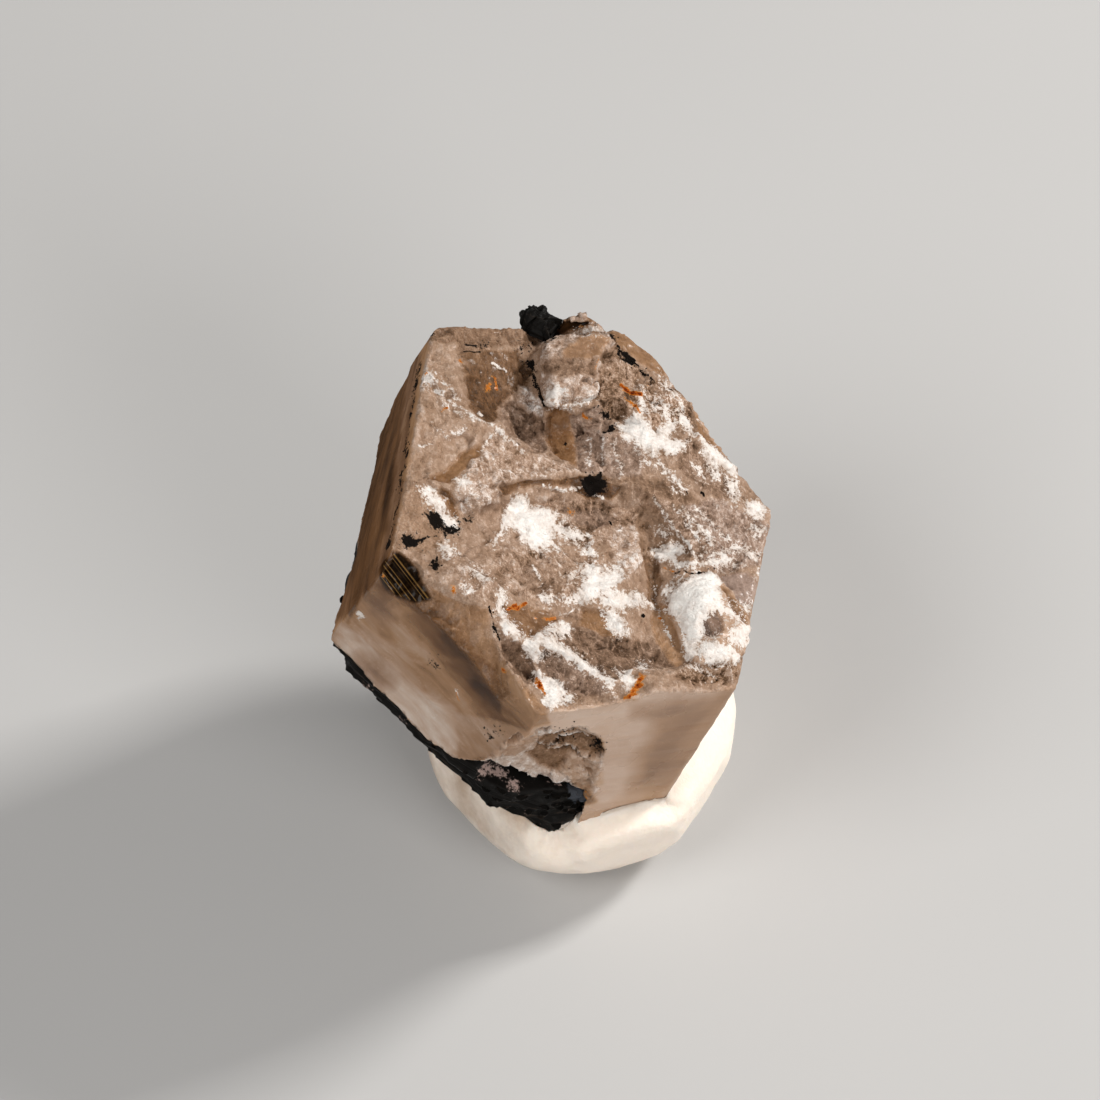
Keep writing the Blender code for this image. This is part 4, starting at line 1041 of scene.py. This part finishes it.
def roughLump(name, radii, roughness, seed, subdivisions=1):  # a small angular grain, in mm
    jitter = random.Random(seed)
    data = bmesh.new()
    bmesh.ops.create_icosphere(data, subdivisions=subdivisions, radius=1.0)
    for vert in data.verts:
        push = 1 + jitter.uniform(-roughness, roughness)
        vert.co = Vector([part * radius * push for part, radius in zip(vert.co, radii)])
    mesh = bpy.data.meshes.new(name)
    data.to_mesh(mesh)
    data.free()
    return newObject(name, mesh)


def flakeShape(name, thickness, seed):  # a ragged six-sided plate, one across, in mm
    jitter = random.Random(seed)
    data = bmesh.new()
    corners = []
    for corner in range(9):
        angle = math.tau * corner / 9
        reach = 0.5 * jitter.uniform(0.72, 1.05)
        corners.append(data.verts.new((reach * math.cos(angle), reach * math.sin(angle), 0)))
    lower = data.faces.new(corners)
    upper = bmesh.ops.extrude_face_region(data, geom=[lower])["geom"]
    for part in upper:
        if isinstance(part, bmesh.types.BMVert):
            part.co = Vector((part.co.x * 0.97, part.co.y * 0.97, thickness))
    bmesh.ops.recalc_face_normals(data, faces=data.faces)
    mesh = bpy.data.meshes.new(name)
    data.to_mesh(mesh)
    data.free()
    return newObject(name, mesh)


# Black mica
mica = {
    "voxel": 0.17,
    "sheet": 0.16,  # how far the worn edges of the sheets step in and out
    "flakeDensity": 1.5,
    "flakeSizes": (0.3, 0.7),
    "flakeThickness": 0.09,
    "flakeLean": (0.10, 0.10, 3.14),
    "colour": (0.005, 0.0045, 0.004),
    "edge": (0.030, 0.022, 0.017),
    "pale": {  # pinkish specks on the black, by outline in the photo
        "arch": (((477, 768), (490, 762), (504, 767), (518, 780), (520, 793), (512, 791), (506, 779), (492, 774), (478, 776)), 0.95),
        "side": (((545, 778), (558, 775), (570, 781), (556, 785)), 0.75),
        "bits": (((362, 688), (368, 687), (374, 700), (369, 702)), 0.80),
        "bitsLow": (((398, 716), (403, 718), (404, 728), (399, 726)), 0.70),
    },
    "paleColour": (0.38, 0.28, 0.25),
    # painted reflection: the glossy shine of one flake, painted blue-grey
    "sheen": {"flakeReflection": (((566, 782), (577, 779), (584, 791), (579, 805), (567, 801)), 0.9)},
    "sheenColour": (0.045, 0.05, 0.06),
}


def micaFinish():
    kit = Finish("blackMica")
    place = kit.objectPlace(crystalSpace)
    layers = kit.noise(kit.stretched(place, (0.5, 0.5, 7.0)), 1.0, 4, 0.6)
    patches = kit.noise(place, 1.1, 5, 0.6)
    colour = kit.blend(kit.edge(layers + 0.6 * (patches - 0.5), 0.58, 0.8), mica["colour"], mica["edge"])
    crumbs = kit.noise(place, 5.0, 3, 0.6)
    pale = kit.edge(kit.attribute("pale") + 1.2 * (patches - 0.5) + 1.8 * (crumbs - 0.5), 0.45, 0.75)
    # painted reflection on one flake
    sheen = kit.edge(kit.attribute("sheen") + 1.0 * (patches - 0.5), 0.45, 0.60)
    colour = kit.blend(pale, kit.blend(sheen, colour, mica["sheenColour"]), mica["paleColour"])
    roughness = kit.edge(patches, 0.3, 0.7, 0.34, 0.62)
    normal = kit.bump(layers * 0.7 + crumbs * 0.3, 0.12)
    surface = kit.node("ShaderNodeBsdfPrincipled", None, {
        "Base Color": colour, "Roughness": roughness, "IOR": 1.58, "Specular IOR Level": 0.06, "Normal": normal,
    })
    return kit.finish(surface)


def shapeMica():
    base = cadCopy("mica_matrix", "micaBase", crystalSpace)
    piece = remeshOver(base, "micaBody", mica["voxel"])
    points = readPoints(piece.data)
    normals = readPoints(piece.data, "normal")
    sideways = normals * np.array((1, 1, 0.15))
    push = np.array([
        noise.noise(Vector((x * 0.5, y * 0.5, z * 4.2))) + 0.4 * noise.noise(Vector((x * 1.6, y * 1.6, z * 9)))
        for x, y, z in points
    ])
    writePoints(piece.data, points + sideways * (push * mica["sheet"])[:, None])
    away = normals @ faceDirection("left") < 0.4
    writeAttribute(piece.data, "flaky", ((np.abs(normals[:, 2]) < 0.8) * 1.0 + 0.25) * away)
    pixels = inPhoto(points)
    for name in ("pale", "sheen"):
        writeAttribute(piece.data, name, gatherMarks(pixels, mica[name], {}))
    removeObject(base)
    return piece


micaMaterial = micaFinish()
micaPiece = shapeMica()
flake = flakeShape("flake", mica["flakeThickness"], 4)
flakePiece = scatterOver(micaPiece, "micaFlakes", {
    "Shape": flake, "Attribute": "flaky", "Density": mica["flakeDensity"], "Least": mica["flakeSizes"][0],
    "Largest": mica["flakeSizes"][1], "Lean": mica["flakeLean"], "Seed": 5, "Material": micaMaterial,
})
removeObject(flake)
finishPiece(micaPiece, crystalSpace, micaMaterial, "mica_matrix")
finishPiece(flakePiece, crystalSpace, micaMaterial, smooth=False)

# Black grains on the broken end, scattered over its black specks and over its painted shadows too
grains = {
    "density": 20.0,  # for each square mm where the black mark, a speck or a painted shadow, is full
    "sizes": (0.03, 0.08),
    "roughness": 0.3,
}
grainShape = roughLump("grainShape", (1.0, 0.8, 0.6), grains["roughness"], 7)
grainPiece = scatterOver(crystalPiece, "blackGrains", {
    "Shape": grainShape, "Attribute": "sootAndShadow", "Density": grains["density"], "Least": grains["sizes"][0],
    "Largest": grains["sizes"][1], "Lean": (3.1, 3.1, 3.1), "Seed": 11, "Material": micaMaterial,
})
removeObject(grainShape)
finishPiece(grainPiece, crystalSpace, micaMaterial, smooth=False)
finishPiece(crystalPiece, crystalSpace, crystalFinish(), "phenakite_crystal")


def pressOnto(points, others, reach, full, contact):  # draws points that lie near other pieces up against them, in mm
    pressed = np.zeros(len(points))
    for other in others:
        corners = [Vector(vert.co) / mm for vert in other.data.vertices]
        tree = BVHTree.FromPolygons(corners, [face.vertices for face in other.data.polygons])
        for index, place in enumerate(points):
            near, normal, _, distance = tree.find_nearest(Vector(place), reach)
            if near is None:
                continue
            share = float(smoothStep(distance, reach, full))
            points[index] = Vector(place).lerp(near + normal * contact, share)
            pressed[index] = max(pressed[index], share)
    return pressed


# The grain in the notch of the back rim, in world mm
rimGrain = {
    "voxel": 0.06,
    "facet": (0.38, 0.75, 0.22),
    "crumbs": 0.14,
    "reach": 1.0,
    "full": 0.5,
    "contact": 0.02,
}
worldSpace = Matrix.Scale(mm, 4)


def shapeRimGrain():
    base = cadCopy("mica_rim_grain", "rimGrainBase", worldSpace)
    piece = remeshOver(base, "rimGrain", rimGrain["voxel"])
    removeObject(base)
    points = readPoints(piece.data)
    normals = readPoints(piece.data, "normal")
    lift = np.array([
        facetHeight(place, *rimGrain["facet"]) + rimGrain["crumbs"] * noise.noise(Vector(place * 4)) for place in points
    ])
    points = points + normals * lift[:, None]
    pressOnto(points, [crystalPiece], rimGrain["reach"], rimGrain["full"], rimGrain["contact"])
    writePoints(piece.data, points)
    return piece


finishPiece(shapeRimGrain(), worldSpace, micaMaterial, "mica_rim_grain", smooth=False)
print("mica and grains done")

# The mounting putty, in world mm
putty = {
    "voxel": 0.2,
    "reach": 1.1,  # putty nearer to the crystal than this is pressed up to it
    "full": 0.75,
    "contact": 0.03,
    "dents": 0.10,
    "fold": (((547, 826), (557, 846), (572, 866)), 0.35, 0.22),  # a crease: its path in the photo, half width, depth
    "shadedSide": (-7.5, 1.5),  # from here to here in x the putty is painted brown: painted shade, standing in for the crystal's shadow
    "colour": (0.84, 0.75, 0.66),
    # the brown the putty turns to: dirt in its random smudges, and painted shade on its left side and where it meets
    # the crystal
    "dirtAndShade": (0.42, 0.30, 0.21),
    "glow": (1.2, 0.8, 0.55),
}


def puttyFinish():
    kit = Finish("whitePutty")
    place = kit.objectPlace()
    smudge = kit.noise(place, 0.35, 5, 0.6)
    grain = kit.noise(place, 4.0, 5, 0.6)
    contact, browned = kit.attribute("contact"), kit.attribute("browned")
    # the smudges are dirt; the contact and side terms are painted shade, darker where the putty meets the crystal and
    # on its left side
    share = kit.edge(smudge + 0.25 * contact + 0.35 * browned, 0.55, 1.15)
    normal = kit.bump(grain * 0.5 + kit.noise(place, 1.2, 3, 0.5), 0.08)
    surface = kit.node("ShaderNodeBsdfPrincipled", None, {
        "Base Color": kit.blend(share, putty["colour"], putty["dirtAndShade"]),
        "Roughness": kit.edge(grain, 0.3, 0.7, 0.5, 0.68), "IOR": 1.45, "Normal": normal,
        "Subsurface Weight": 0.25, "Subsurface Radius": putty["glow"], "Subsurface Scale": mm,
    })
    return kit.finish(surface)


def shapePutty():
    base = cadCopy("mounting_putty", "puttyBase", worldSpace)
    piece = remeshOver(base, "puttyBall", putty["voxel"])
    removeObject(base)
    points = readPoints(piece.data)
    points = 0.4 * points + 0.6 * edgeMeans(piece.data, points, 3)  # the CAD facets smooth away
    normals = readPoints(piece.data, "normal")
    lift = np.array([
        putty["dents"] * (noise.noise(Vector(place * 0.45)) + 0.35 * noise.noise(Vector(place * 1.3))) for place in points
    ])
    path, width, depth = putty["fold"]
    facing = (normals @ shotTowards > 0.1).astype(float)
    lift = lift - depth * facing * alongStroke(photoPixels(points), path, width, 1.0)
    points += normals * lift[:, None]
    points[:, 2] = points[:, 2].clip(0)
    # painted shade: the putty darkens towards its left side, for the shadow under the crystal
    browned = smoothStep(points[:, 0], putty["shadedSide"][1], putty["shadedSide"][0])
    pressed = pressOnto(points, [crystalPiece, micaPiece], putty["reach"], putty["full"], putty["contact"])
    writePoints(piece.data, points)
    writeAttribute(piece.data, "contact", edgeMeans(piece.data, pressed[:, None], 4)[:, 0])
    writeAttribute(piece.data, "browned", browned)
    return piece


finishPiece(shapePutty(), worldSpace, puttyFinish(), "mounting_putty")
print("putty done")

# The studio: a plain pale floor and soft lights. Metres, watts.
studio = {
    "floorSize": 3.0,
    "floor": (0.44, 0.44, 0.44),
    "world": (1.0, 0.98, 0.96),
    "worldStrength": 0.20,
    "lights": {
        "key": ((0.29, 0.15, 0.24), 0.07, 1.60, (1.0, 0.97, 0.93)),
        "front": ((0.24, -0.34, 0.24), 0.24, 1.25, (1.0, 0.97, 0.94)),
        "fill": ((-0.28, -0.22, 0.38), 0.26, 1.30, (1.0, 0.98, 0.95)),
    },
}


def buildStudio():
    data = bmesh.new()
    bmesh.ops.create_grid(data, x_segments=1, y_segments=1, size=studio["floorSize"] / 2)
    mesh = bpy.data.meshes.new("floor")
    data.to_mesh(mesh)
    data.free()
    kit = Finish("paleFloor")
    place = kit.objectPlace()
    tone = kit.edge(kit.noise(place, 0.02, 2), 0.2, 0.8, 0.0, 0.06)
    colour = kit.blend(tone, studio["floor"], (0.7, 0.7, 0.7))
    surface = kit.node("ShaderNodeBsdfPrincipled", None, {"Base Color": colour, "Roughness": 0.85})
    mesh.materials.append(kit.finish(surface))
    newObject("floor", mesh)
    for name, (place, size, power, colour) in studio["lights"].items():
        light = bpy.data.lights.new(name, "AREA")
        light.size = size
        light.energy = power
        light.color = colour
        lamp = bpy.data.objects.new(name, light)
        lamp.location = place
        lamp.rotation_euler = (Vector(place) - Vector(shot["target"]) * mm).to_track_quat("Z", "Y").to_euler()
        bpy.context.scene.collection.objects.link(lamp)
    world = bpy.data.worlds.new("studioLight")
    world.use_nodes = True
    background = world.node_tree.nodes["Background"]
    background.inputs["Color"].default_value = (*studio["world"], 1)
    background.inputs["Strength"].default_value = studio["worldStrength"]
    bpy.context.scene.world = world
    bpy.context.scene.view_settings.view_transform = "Standard"


buildStudio()
print("studio done")
